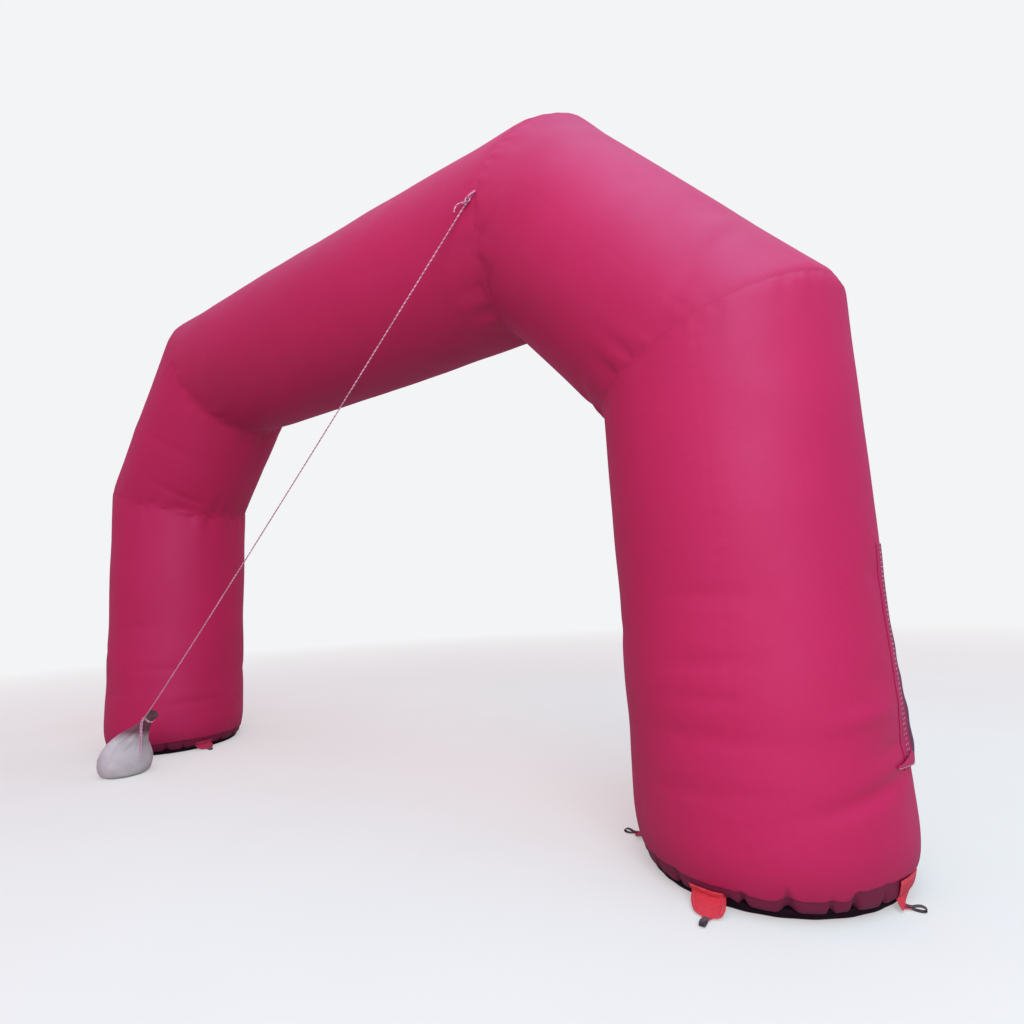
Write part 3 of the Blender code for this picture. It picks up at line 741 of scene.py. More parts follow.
class Arch:
    """The five tubes and the four seams between them."""

    def __init__(self):
        self.tubes = {
            "leg_left": Tube((-LEG_X, 0, 0), (-LEG_X, 0, SHOULDER_Z)),
            "slant_left": Tube((-LEG_X, 0, SHOULDER_Z), (-CROWN_X, 0, CROWN_Z)),
            "beam": Tube((-CROWN_X, 0, CROWN_Z), (CROWN_X, 0, CROWN_Z)),
            "slant_right": Tube((CROWN_X, 0, CROWN_Z), (LEG_X, 0, SHOULDER_Z)),
            "leg_right": Tube((LEG_X, 0, 0), (LEG_X, 0, SHOULDER_Z)),
        }
        crown = math.atan2(CROWN_Z - SHOULDER_Z, LEG_X - CROWN_X)
        shoulder = math.pi / 2 - crown
        left, right = self.tubes["leg_left"], self.tubes["leg_right"]
        beam = self.tubes["beam"]
        lean = math.radians(RIGHT_CROWN_LEAN)
        self.seams = {
            "shoulder_left": Seam(left.end, left, shoulder, shoulder / 2, 1, SHOULDER_SWELL),
            "crown_left": Seam(beam.start, beam, crown, crown / 2, -1, CROWN_SWELL),
            "crown_right": Seam(beam.end, beam, crown, lean, 1, CROWN_SWELL),
            "shoulder_right": Seam(right.end, right, shoulder, shoulder / 2, 1, SHOULDER_SWELL),
        }
        self.joins = {
            "leg_left": (None, "shoulder_left"),
            "slant_left": ("shoulder_left", "crown_left"),
            "beam": ("crown_left", "crown_right"),
            "slant_right": ("crown_right", "shoulder_right"),
            "leg_right": (None, "shoulder_right"),
        }


ARCH = Arch()


def run(tube, turn, step, first, last, swell=0.0):
    """Points of a tube between two ends, at shares of the way.

    Start, plus a distance along the axis, plus the radius times the side direction. Near a seam
    it moves over to the seam's ring, by the part of the difference that is square to the axis,
    fading with distance. Returns the points, the distance along the tube, and the distance from
    each end that is a seam.
    """
    side = tube.side(turn)
    reaches, seams = [], []
    for end in (first, last):
        if isinstance(end, Seam):
            stitch = end.stitched(turn)
            reach = (stitch - tube.start) @ tube.along
            seams.append((reach, end, stitch))
        else:
            reach = np.full_like(turn, end)
        reaches.append(reach)
    at = reaches[0] + step * (reaches[1] - reaches[0])
    points = tube.start + at[..., None] * tube.along + TUBE_RADIUS * side
    away = []
    for reach, end, stitch in seams:
        distance = np.abs(at - reach)
        plain = tube.start + reach[..., None] * tube.along + TUBE_RADIUS * side
        shaped = end.smooth(turn)
        points = points + across(shaped - plain, tube.along) * dome(distance, CORNER_REACH)[..., None]
        points = points + across(stitch - shaped, tube.along) * fade(distance, PINCH_REACH)[..., None]
        points = points + end.ease * fade(distance, BEND_REACH)[..., None]
        away.append(distance)
    points = points + (swell * np.sin(math.pi * step) * np.ones_like(at))[..., None] * side
    return points, at, away


def pucker_rows(turn, distance, look, seed):
    """Small creases that run off a sewn mitre: a sharpened wave round the tube, which rises over
    the first centimetres from the seam and dies away, deeper where the bend presses the cloth."""
    inner = np.clip(-np.cos(turn), 0, None)
    jitter = 0.9 * np.sin(3 * turn + seed) + 0.6 * np.sin(7 * turn - 2 * seed)
    fine = np.cos(46 * turn + 2.5 * jitter) * np.clip(distance / 0.02, 0, 1) * bell(distance, 0.085)
    wide = np.cos(17 * turn + 2 * jitter + seed) * np.clip(distance / 0.04, 0, 1) * bell(distance, 0.20)
    uneven = 0.6 + 0.4 * np.sin(2 * turn + 1.3 * seed)
    return look.crease_depth * uneven * (0.45 * fine + (0.55 + 1.6 * inner) * wide)


def relief(name, turn, at, away, look):
    """How far the cloth stands out from its plain tube.

    The sum of the long soft waves, the listed folds, a shallow groove at each lengthwise
    join with small puckers beside it, and the creases off the mitres. It is 0 at a seam.
    """
    seed = 1 + list(ARCH.tubes).index(name)
    out = look.wave_depth * waves(turn, at, seed)
    for middle, along, depth, half_turn, half_along, climb in FOLDS[name]:
        gap = turn_gap(turn, middle)
        out = out + depth * bell(gap, half_turn) * bell(at - along - climb * gap, half_along)
    for middle in GORE_TURNS:
        arc = np.radians(turn_gap(turn, middle)) * TUBE_RADIUS
        puckers = np.cos(TAU * at / GORE_PUCKER_PITCH + 2.0 * np.sin(5.3 * at + seed))
        puckers = GORE_PUCKER * puckers * bell(arc, GORE_PUCKER_WIDTH)
        out = out - GORE_DEPTH * bell(arc, GORE_WIDTH) + puckers
    for k, distance in enumerate(away):
        out = out * np.clip(distance / RELIEF_REACH, 0, 1)
        out = out + pucker_rows(turn, distance, look, seed + 3.1 * k)
    return out


def pleats(turn, rise):
    """How deep the gathered edge dips, from 0 to 1: for each pleat a bell over the turn, which
    narrows and dies away up to the pleat's height."""
    total = np.zeros_like(turn + rise)
    for middle, share, half, height in PLEATS:
        left = np.clip(1 - rise / height, 0, 1)
        width = half * (0.25 + 0.85 * left)
        total = np.maximum(total, share * left**0.6 * bell(turn_gap(turn, middle), width))
    return total


def tongues(turn):
    """The cloth between the pleats, from 0 to 1: a flat top with a steep fall at each pleat."""
    low = np.zeros_like(turn)
    for middle, share, half, _ in PLEATS:
        low = np.maximum(low, share * bell(turn_gap(turn, middle) ** 2, (1.6 * half) ** 2))
    return 1 - low


def hem(turn, rise):
    """How far the cloth tucks in under its bulging edge, and a mark from 0 above the edge to 1
    below it: a short smooth step at a height that changes with the turn and rises at a pleat.
    The mark is painted shade on the cloth below the edge."""
    turns, rises = np.array(HEM_RISES).T
    edge = np.interp(np.degrees(turn) % 360, turns, rises) + 0.010 * (1 - tongues(turn))
    edge = edge + 0.003 * np.sin(17 * turn) * np.sin(5 * turn + 1)
    below = np.clip((edge - rise) / HEM_ROLL + 0.5, 0, 1)
    below = below * below * (3 - 2 * below)
    return HEM_TUCK * below * np.clip(rise / edge, 0, 1), below


def foot_skin(tube, turn, angle, look, tucked=True):
    """Points on the gathered rounding of a foot.

    The radius and height follow a quarter of a superellipse in the angle. A pleat takes its depth
    off the radius and lifts the edge; the cloth between swells out and hangs a little lower, and
    tucks in under its hem.
    """
    tall = FOOT_TOP - FOOT_LIFT
    rise = tall * (1 - np.cos(angle) ** FOOT_POWER)
    radius = FOOT_RADIUS + (TUBE_RADIUS - FOOT_RADIUS) * np.sin(angle) ** FOOT_POWER
    deep = pleats(turn, rise)
    full = tongues(turn)
    low = bell(rise, EDGE_BAND)
    uneven = np.sin(5 * turn + 0.7) * np.sin(13 * turn)
    radius = radius - look.pleat_depth * deep + EDGE_BULGE * full * low
    if tucked:
        radius = radius - hem(turn, rise)[0]
    shift = EDGE_LIFT * deep - EDGE_SAG * full + EDGE_UNEVEN * uneven
    height = FOOT_LIFT + rise + low * shift
    return tube.start + radius[..., None] * tube.side(turn) + height[..., None] * UP


def leg_grid(name, look):
    """A leg from its gathered edge to its mitre: foot rows, even rows and rows to the seam."""
    tube = ARCH.tubes[name]
    seam = ARCH.seams[ARCH.joins[name][1]]
    turn = np.linspace(0, TAU, LEG_AROUND, endpoint=False)[None, :]
    steps = np.interp(np.linspace(0, 1, LEG_FOOT_ROWS), *np.array(FOOT_STEPS).T)
    angle = steps[:-1, None] * math.pi / 2 + 0 * turn
    turns = turn + 0 * angle
    foot = foot_skin(tube, turns, angle, look)
    inner = foot[:1] * (1, 1, 0) + (0, 0, BASE_TOP + EDGE_OFF)
    tucked = inner - EDGE_INWARD * tube.side(turns[:1])
    step = np.linspace(0, 1, LEG_MIDDLE_ROWS)[:-1, None] + 0 * turn
    middle, middle_at, _ = run(tube, turn + 0 * step, step, FOOT_TOP, LEG_BLEND)
    step = seam_steps(LEG_TOP_ROWS, False) + 0 * turn
    top, top_at, away = run(tube, turn + 0 * step, step, LEG_BLEND, seam)
    at = np.vstack([foot[..., 2], middle_at, top_at])
    far = np.ones_like(at[: len(foot) + len(middle)])
    distance = np.vstack([far, away[0]])
    points = np.vstack([foot, middle, top])
    turns = turn + 0 * at
    out = relief(name, turns, at, [distance], look)
    for height, depth, half in LEG_WAISTS:
        out = out - depth * bell(at - height, half)
    out = out * np.clip((at - FOOT_LIFT - 0.03) / 0.10, 0, 1)
    points = points + out[..., None] * tube.side(turns)
    points[-1] = points[-1] - seam_step(tube, seam)
    rise = np.clip(at - FOOT_LIFT, 0, None)
    # Painted shade: darker in the pleats' notches, below the hem's edge, low on the foot's rounding and
    # in a band beside the seam.
    shaded = np.maximum(pleats(turns, rise), 0.85 * hem(turns, rise)[1])
    crease = np.clip(shaded + 0.25 * bell(rise, 0.10) + seam_shade(distance), 0, 1)
    grid = np.vstack([tucked, points])
    shade = np.vstack([np.ones_like(crease[:1]), crease])
    along = np.vstack([at[:1] - EDGE_INWARD, at])
    return grid, turn[0], along, shade


def seam_steps(rows, both_ends):
    """Shares of the way from 0 to 1, closer together near a seam: s less a part of a sine where
    both ends are seams, or s plus a part of half a sine where only the last one is."""
    s = np.linspace(0, 1, rows)[:, None]
    if both_ends:
        return s - SPAN_CROWDING * np.sin(TAU * s)
    return s + LEG_CROWDING * np.sin(math.pi * s)


def seam_step(tube, seam):
    """Half the gap that parts one tube from the next, on the seam's side of it."""
    return seam.normal * np.sign(seam.normal @ tube.along) * GAP / 2


def seam_shade(distance):
    """Painted shade in a sewn mitre: a bell over the distance from it."""
    return SEAM_SHADE * bell(distance, SEAM_SHADE_HALF)


def span_grid(name, rows, look, swell=0.0):
    """A slant or the beam, from one seam to the next."""
    tube = ARCH.tubes[name]
    first, last = (ARCH.seams[key] for key in ARCH.joins[name])
    turn = np.linspace(0, TAU, TUBE_AROUND, endpoint=False)[None, :]
    step = seam_steps(rows, True) + 0 * turn
    turns = turn + 0 * step
    points, at, away = run(tube, turns, step, first, last, swell)
    out = relief(name, turns, at, away, look)
    points = points + out[..., None] * tube.side(turns)
    points[0] = points[0] + seam_step(tube, first)
    points[-1] = points[-1] - seam_step(tube, last)
    shade = seam_shade(away[0]) + seam_shade(away[1])
    return points, turn[0], at, shade


# ---------------------------------------------------------------- materials


def add_node(tree, kind, values=(), **settings):
    """A shader node with its settings and input values; a value may be another node's output."""
    made = tree.nodes.new(kind)
    for key, value in settings.items():
        setattr(made, key, value)
    for key, value in dict(values).items():
        if isinstance(value, bpy.types.NodeSocket):
            tree.links.new(value, made.inputs[key])
        else:
            made.inputs[key].default_value = value
    return made


def times(tree, a, b):
    """The product of two values."""
    return add_node(tree, "ShaderNodeMath", {0: a, 1: b}, operation="MULTIPLY").outputs[0]


def sine(tree, a):
    """The sine of a value."""
    return add_node(tree, "ShaderNodeMath", {0: a}, operation="SINE").outputs[0]


def mix_colour(tree, share, a, b):
    """Colour a, with a share of colour b mixed in."""
    mixed = add_node(tree, "ShaderNodeMix", data_type="RGBA")
    colours = [s for s in mixed.inputs if s.type == "RGBA"]
    for socket, value in ((mixed.inputs[0], share), (colours[0], a), (colours[1], b)):
        if isinstance(value, bpy.types.NodeSocket):
            tree.links.new(value, socket)
        else:
            socket.default_value = value
    return next(s for s in mixed.outputs if s.type == "RGBA")


def remap(tree, value, low, high, to_low=0.0, to_high=1.0):
    """Stretches a range of values to another, held at its ends."""
    sockets = {"Value": value, "From Min": low, "From Max": high}
    sockets.update({"To Min": to_low, "To Max": to_high})
    return add_node(tree, "ShaderNodeMapRange", sockets).outputs[0]


def noise(tree, where, scale, detail=3.0):
    """Soft noise, with its scale in spots a metre."""
    values = {"Vector": where, "Scale": scale, "Detail": detail}
    return add_node(tree, "ShaderNodeTexNoise", values).outputs["Fac"]


def height_of(tree, where):
    """The height of a place above the floor."""
    return add_node(tree, "ShaderNodeSeparateXYZ", {0: where}).outputs[2]


def mark(tree, name):
    """The values that a piece carries at its points under a name."""
    return add_node(tree, "ShaderNodeAttribute", attribute_name=name).outputs["Fac"]


def weave_height(tree, pitch):
    """The over and under of a plain weave on the flat cloth: sine across times sine along."""
    flat = add_node(tree, "ShaderNodeUVMap", uv_map="Cloth").outputs[0]
    parts = add_node(tree, "ShaderNodeSeparateXYZ", {0: flat})
    u, v = (sine(tree, times(tree, parts.outputs[k], math.pi / pitch)) for k in (0, 1))
    return times(tree, u, v)


def new_material(name, **constants):
    """A material, its node tree and shader, and the place of a point on the arch."""
    material = bpy.data.materials.new(name)
    material.use_nodes = True
    tree = material.node_tree
    shader = tree.nodes["Principled BSDF"]
    for socket, value in constants.items():
        shader.inputs[socket.replace("_", " ")].default_value = value
    where = add_node(tree, "ShaderNodeTexCoord").outputs["Object"]
    return material, tree, shader, where


def join_shader(tree, shader, base, rough, *bumps):
    """Gives a shader its colour, its roughness and bumps one on another: each bump is a height,
    its depth in metres and its strength."""
    tree.links.new(base, shader.inputs["Base Color"])
    tree.links.new(rough, shader.inputs["Roughness"])
    below = {}
    for height, depth, strength in bumps:
        values = {"Height": height, "Distance": depth, "Strength": strength, **below}
        normal = add_node(tree, "ShaderNodeBump", values).outputs[0]
        tree.links.new(normal, shader.inputs["Normal"])
        below = {"Normal": normal}


def rgba(colour, factor=1.0):
    """A colour times a factor, as a shader's socket takes it."""
    return (colour[0] * factor, colour[1] * factor, colour[2] * factor, 1.0)


def coated_cloth(name, colour, deep, look, gloss):
    """Coated oxford cloth: two close tones in soft clouds, painted shade in its creases and gathers
    and, in patches, towards the floor, a fine weave under the coating, shallow crumples, and a
    broad lilac gloss."""
    material, tree, shader, where = new_material(
        name,
        Sheen_Weight=0.05,
        Sheen_Roughness=0.50,
        Sheen_Tint=(0.60, 0.50, 1.0, 1.0),
        Specular_IOR_Level=gloss,
        Specular_Tint=(0.60, 0.66, 1.0, 1.0),
    )
    cloud = remap(tree, noise(tree, where, 1.1, 2.0), 0.35, 0.68)
    base = mix_colour(tree, times(tree, cloud, 0.55), rgba(colour), rgba(colour, 0.86))
    speck = remap(tree, noise(tree, where, 45.0, 4.0), 0.40, 0.62)
    base = mix_colour(tree, times(tree, speck, 0.10), base, rgba(colour, 1.25))
    # Painted shade: the cloth darkens towards the deep tone where its shade mark is high.
    share = times(tree, mark(tree, "crease"), 0.92)
    base = mix_colour(tree, share, base, rgba(deep))
    # Painted shade towards the floor: darker below 0.30 m, more in some patches than others.
    wear_and_shade = remap(tree, speck, 0.0, 1.0, 0.16, 0.30)
    low = remap(tree, height_of(tree, where), 0.30, 0.02)
    base = mix_colour(tree, times(tree, low, wear_and_shade), base, rgba(deep, 0.9))
    join_shader(
        tree,
        shader,
        base,
        remap(tree, noise(tree, where, 3.5), 0.3, 0.7, 0.58, 0.66),
        (noise(tree, where, 5.5), 0.010, 0.35),
        (noise(tree, where, 28.0, 2.0), 0.0015, 0.30),
        (weave_height(tree, look.weave_pitch), 0.0002, 0.35),
    )
    return material


def webbing(name, colour, pitch):
    """Woven strap: ribs across it, darker between them, with a matt thread finish."""
    material, tree, shader, where = new_material(name, Sheen_Weight=0.35, Sheen_Roughness=0.5)
    ribs = weave_height(tree, pitch)
    share = remap(tree, ribs, -0.6, 0.6)
    wear_and_shade = times(tree, noise(tree, where, 60.0), 0.35)
    base = mix_colour(tree, share, rgba(colour, 0.55), rgba(colour, 1.2))
    base = mix_colour(tree, wear_and_shade, base, rgba(colour, 2.2))
    rough = remap(tree, ribs, -1.0, 1.0, 0.85, 0.62)
    join_shader(tree, shader, base, rough, (ribs, 0.0008, 0.8))
    return material


def rope_fibre(name, colour, shadow):
    """Twisted rope: one dark strand, a shadow between its strands, fine fibres along them, and
    brighter stretches rubbed by wear."""
    material, tree, shader, where = new_material(name, Sheen_Weight=0.4, Sheen_Roughness=0.5)
    wear_and_shade = remap(tree, noise(tree, where, 9.0, 2.0), 0.42, 0.60)
    base = mix_colour(tree, wear_and_shade, rgba(colour, 0.82), rgba(colour, 1.12))
    base = mix_colour(tree, mark(tree, "groove"), base, rgba(shadow))
    fibres = noise(tree, where, 900.0, 2.0)
    rough = remap(tree, fibres, 0.3, 0.7, 0.60, 0.80)
    join_shader(tree, shader, base, rough, (fibres, 0.0004, 0.5))
    return material


def sack_weave(name, body, neck, look):
    """Woven sack cloth: flat tapes over and under, pale below and darker towards its neck, with
    painted shade in the neck's gathers.
    """
    constants = {"Sheen_Weight": 0.15, "Specular_IOR_Level": 0.35}
    material, tree, shader, where = new_material(name, **constants)
    tapes = weave_height(tree, look.sack_pitch)
    towards_neck = remap(tree, height_of(tree, where), 0.33, 0.40)
    cloud = remap(tree, noise(tree, where, 7.0, 4.0), 0.35, 0.65)
    base = mix_colour(tree, cloud, rgba(body), rgba(body, 0.80))
    base = mix_colour(tree, towards_neck, base, rgba(neck))
    base = mix_colour(tree, remap(tree, tapes, -0.2, -0.9), base, rgba(neck, 0.7))
    # Painted shade in the gathers of the neck and inside the mouth.
    base = mix_colour(tree, mark(tree, "crease"), base, rgba(neck, 0.45))
    rough = remap(tree, cloud, 0.0, 1.0, 0.60, 0.78)
    crumple = noise(tree, where, 16.0, 4.0)
    join_shader(tree, shader, base, rough, (crumple, 0.006, 0.5), (tapes, 0.0006, 0.7))
    return material


def thread(name, colour):
    """Sewing thread: a twist of light and dark along each stitch."""
    material, tree, shader, where = new_material(name, Sheen_Weight=0.3)
    twist = remap(tree, noise(tree, where, 350.0, 1.0), 0.35, 0.65)
    base = mix_colour(tree, twist, rgba(colour, 0.75), rgba(colour, 1.1))
    join_shader(tree, shader, base, remap(tree, twist, 0.0, 1.0, 0.55, 0.75))
    return material


def floor_paint(name, studio):
    """Matt pale floor that fades into the surround far from the arch. It throws back less light
    than it shows, so that the low places of the cloth stay deep."""
    constants = {"Specular_IOR_Level": 0.1, "Roughness": 0.9}
    material, tree, shader, where = new_material(name, **constants)
    tone = remap(tree, noise(tree, where, 0.8, 2.0), 0.3, 0.7)
    base = mix_colour(tree, tone, rgba(studio.floor), rgba(studio.floor, 0.97))
    tree.links.new(base, shader.inputs["Base Color"])
    radius = add_node(tree, "ShaderNodeVectorMath", {0: where}, operation="LENGTH").outputs["Value"]
    far = remap(tree, radius, *FLOOR_FADE, FLOOR_VEIL)
    sweep = add_node(tree, "ShaderNodeEmission", {"Color": rgba(studio.surround)})
    seen = {0: far, 1: shader.outputs[0], 2: sweep.outputs[0]}
    seen = add_node(tree, "ShaderNodeMixShader", seen)
    bounce = add_node(tree, "ShaderNodeBsdfDiffuse", {"Color": rgba(studio.floor, studio.bounce)})
    show_camera(tree, bounce, seen, "Material Output")
    return material


def show_camera(tree, light, seen, output):
    """Gives an output one shader that the camera sees, and another that sends out the light."""
    ray = add_node(tree, "ShaderNodeLightPath").outputs["Is Camera Ray"]
    values = {0: ray, 1: light.outputs[0], 2: seen.outputs[0]}
    both = add_node(tree, "ShaderNodeMixShader", values)
    tree.links.new(both.outputs[0], tree.nodes[output].inputs["Surface"])


# ---------------------------------------------------------------- settings


def colour_property(name, description, default):
    texts = {"name": name, "description": description}
    return FloatVectorProperty(**texts, subtype="COLOR", default=default, min=0, max=1)


def power_property(name, description, default):
    return FloatProperty(name=name, description=description, default=default, unit="POWER")


def length_property(name, description, default):
    return FloatProperty(name=name, description=description, default=default, unit="LENGTH")


class ARCH_PG_colours(bpy.types.PropertyGroup):
    """Colours of the arch's cloth, webbing and rope."""

    rose: colour_property("Rose", "Cloth of the air tubes", (0.550, 0.008, 0.088))
    # Painted shade: the tone that the cloth is darkened towards in creases, gathers and low places.
    rose_shade: colour_property("Deep rose", "Cloth in creases and gathers", (0.15, 0.004, 0.026))
    # Painted shade: the tone of the flap's outer edge, which faces away from the light.
    flap_shade: colour_property("Flap's edge", "Cloth of the zip flap's edge", (0.085, 0.020, 0.045))
    coral: colour_property("Coral", "Cloth of the anchor tabs", (0.86, 0.070, 0.085))
    pink: colour_property("Pink", "Cloth of the inner tabs", (0.62, 0.055, 0.130))
    base: colour_property("Base", "Cloth under the feet", (0.014, 0.006, 0.009))
    black: colour_property("Black webbing", "Loops at the tabs", (0.018, 0.016, 0.018))
    rose_strap: colour_property("Rose webbing", "Loop of the guy rope", (0.70, 0.18, 0.32))
    rope: colour_property("Rope", "Guy rope", (0.94, 0.55, 0.68))
    rope_shadow: colour_property("Rope shadow", "Between the strands", (0.22, 0.05, 0.11))
    thread: colour_property("Thread", "Stitches on the tabs and flap", (0.90, 0.55, 0.62))
    rose_thread: colour_property("Rose thread", "Stitches on the mitres", (0.45, 0.020, 0.10))
    sack: colour_property("Sack", "Body of the ballast sack", (0.74, 0.80, 0.76))
    sack_neck: colour_property("Sack's neck", "Gathered neck of the sack", (0.185, 0.080, 0.098))


class ARCH_PG_cloth(bpy.types.PropertyGroup):
    """Sizes of the arch's folds, gathers and sewing."""

    wave_depth: length_property("Soft waves", "Depth of the long soft waves", 0.0016)
    crease_depth: length_property("Creases", "Depth of the creases off a mitre", 0.0048)
    pleat_depth: length_property("Pleats", "Depth of the feet's pleats", 0.026)
    weave_pitch: length_property("Weave", "Pitch of the coated cloth's threads", 0.0012)
    sack_pitch: length_property("Sack weave", "Pitch of the sack's tapes", 0.0040)
    web_pitch: length_property("Webbing", "Pitch of the webbing's ribs", 0.0022)
    stitch: length_property("Stitch", "Length of a stitch", 0.007)
    stitch_pitch: length_property("Stitch pitch", "From one stitch to the next", 0.011)
    stitch_radius: length_property("Thread", "Radius of the sewing thread", 0.0007)
    rope_lay: length_property("Rope lay", "Length of one turn of the rope's strands", 0.034)
    strands: IntProperty(name="Strands", description="Strands of the rope", default=3, min=2)


class ARCH_PG_studio(bpy.types.PropertyGroup):
    """Light and floor of the studio."""

    floor: colour_property("Floor", "Pale floor", (0.87, 0.96, 0.85))
    surround: colour_property("Surround", "Pale surround that the camera sees", (0.90, 0.905, 0.915))
    sky: colour_property("Sky", "Soft light from all round", (0.54, 0.28, 0.39))
    bounce: FloatProperty(
        name="Bounce",
        description="Share of its light that the floor throws back",
        default=0.45,
        min=0,
        max=1,
        subtype="FACTOR",
    )
    side_power: power_property("Side", "Power of the side light", 740.0)
    fill_power: power_property("Fill", "Power of the low light that fills the shade", 55.0)
    top_power: power_property("Top", "Power of the top light", 1900.0)
    over_power: power_property("Over", "Power of the light over the right slant", 600.0)


def settings():
    """The three groups of settings: colours, cloth, studio."""
    scene = bpy.context.scene
    return scene.arch_colours, scene.arch_cloth, scene.arch_studio


def finish_named(name, make, *arguments):
    """The material of that name, made the first time that it is asked for."""
    return bpy.data.materials.get(name) or make(name, *arguments)


def cloth_finish(name, colour, deep, gloss):
    """A coated cloth by its name."""
    _, look, _ = settings()
    return finish_named(name, coated_cloth, colour, deep, look, gloss)


def rose_finish():
    colours, _, _ = settings()
    return cloth_finish("rose cloth", colours.rose, colours.rose_shade, ROSE_GLOSS)


def rope_finish():
    colours, _, _ = settings()
    return finish_named("pale rope", rope_fibre, colours.rope, colours.rope_shadow)


# ---------------------------------------------------------------- pieces


class ARCH_OT_tubes(bpy.types.Operator):
    """Make the skins of the five air tubes"""

    bl_idname = "arch.tubes"
    bl_label = "Air tubes"

    def execute(self, context):
        _, look, _ = settings()
        cloth = rose_finish()
        grids = {
            "leg_left": leg_grid("leg_left", look),
            "slant_left": span_grid("slant_left", SLANT_ROWS, look),
            "beam": span_grid("beam", BEAM_ROWS, look, BEAM_SWELL),
            "slant_right": span_grid("slant_right", SLANT_ROWS, look),
            "leg_right": leg_grid("leg_right", look),
        }
        for name, (grid, turn, along, shade) in grids.items():
            tube = ARCH.tubes[name]
            flip = tube.turns_left(tube.along)
            marks = {"crease": shade}
            piece = tube_piece("skin_" + name, grid, cloth, TUBE_RADIUS, turn, along, marks, flip)
            finish_piece(piece, "rose_cloth", name)
        return {"FINISHED"}


class ARCH_OT_bases(bpy.types.Operator):
    """Make the black bases under the feet"""

    bl_idname = "arch.bases"
    bl_label = "Bases"

    def execute(self, context):
        colours, _, _ = settings()
        cloth = cloth_finish("black base cloth", colours.base, colours.base, BASE_GLOSS)
        turn = np.linspace(0, TAU, BASE_AROUND, endpoint=False)
        profile = smooth(BASE_PROFILE, BASE_ROWS)
        radius = profile[:, :1] + BASE_RIPPLE * np.sin(31 * turn + 2 * np.sin(3 * turn))
        height = np.clip(profile[:, 1:], 0, BASE_TOP) + 0 * turn
        along = profile[:, 1:] + profile[:, :1] + 0 * turn
        marks = {"crease": 0 * radius}
        for side in ("left", "right"):
            tube = ARCH.tubes["leg_" + side]
            grid = tube.start + radius[..., None] * tube.side(turn) + height[..., None] * UP
            flip = tube.turns_left(UP)
            name = "foot_base_" + side
            piece = tube_piece(name, grid, cloth, BASE_RADIUS, turn, along, marks, flip)
            finish_piece(piece, "black_base", "base_" + side)
        return {"FINISHED"}


class ARCH_OT_seams(bpy.types.Operator):
    """Make the tapes on the mitred seams and the stitches beside them"""

    bl_idname = "arch.seams"
    bl_label = "Mitred seams"

    def execute(self, context):
        colours, look, _ = settings()
        cloth = rose_finish()
        sewing = finish_named("rose thread", thread, colours.rose_thread)
        turn = np.linspace(0, TAU, SEAM_AROUND)
        rows = []
        for name, seam in ARCH.seams.items():
            self.tape(name, seam, turn, cloth)
            for tube_name, ends in ARCH.joins.items():
                if name in ends:
                    rows.append(self.stitches(tube_name, ends.index(name), turn, look))
        stitches_piece("mitre_stitches", rows, sewing, "rose_cloth")
        return {"FINISHED"}

    @staticmethod
    def tape(name, seam, turn, cloth):
        """A flat tape round a seam: its section is an ellipse, and its two ends are one."""
        ring = seam.stitched(turn) + seam.ease
        path = ring - WELT_SINK * unit(ring - seam.middle - seam.ease)
        _, side, lift = frames(path, seam.normal)
        corner = np.linspace(0, TAU, 9)[:-1]
        wide = WELT_HALF[0] * np.sin(corner)[:, None] * lift[:-1, None]
        high = WELT_HALF[1] * np.cos(corner)[:, None] * side[:-1, None]
        points = path[:-1, None] + wide + high
        grid = np.concatenate([points, points[:1]])
        along = arc_lengths(path)[:, None] + 0 * corner
        marks = {"crease": 0 * along}
        section = (WELT_HALF[0], corner, along, marks)
        piece = tube_piece("welt_" + name, grid, cloth, *section, flip=True, caps=False)
        weld = piece.modifiers.new("Close", "WELD")
        weld.merge_threshold = 0.00005
        finish_piece(piece, "rose_cloth")

    @staticmethod
    def stitches(name, end, turn, look):
        """A row of stitches on a tube, beside one of its seams."""
        tube = ARCH.tubes[name]
        first, last = (ARCH.seams.get(key, LEG_BLEND) for key in ARCH.joins[name])
        share = STITCH_OFFSET / np.linalg.norm(tube.end - tube.start)
        steps = np.full_like(turn, share if end == 0 else 1 - share)
        swell = BEAM_SWELL if name == "beam" else 0.0
        path, at, away = run(tube, turn, steps, first, last, swell)
        side = tube.side(turn)
        path = path + relief(name, turn, at, away, look)[:, None] * side
        return stitch_row(path, side, look.stitch, look.stitch_pitch, look.stitch_radius)


def tab_frame(tube, spec):
    """Tip, outward direction and sideways direction of a tab."""
    _, _, _, tip_turn, radius, (outwards, frontwards) = spec
    turn = np.array(math.radians(tip_turn))
    tip = tube.start + TAB_TIP_Z * UP + radius * tube.side(turn)
    way = outwards * tube.out + frontwards * FRONT
    return tip, way, np.cross(UP, way)


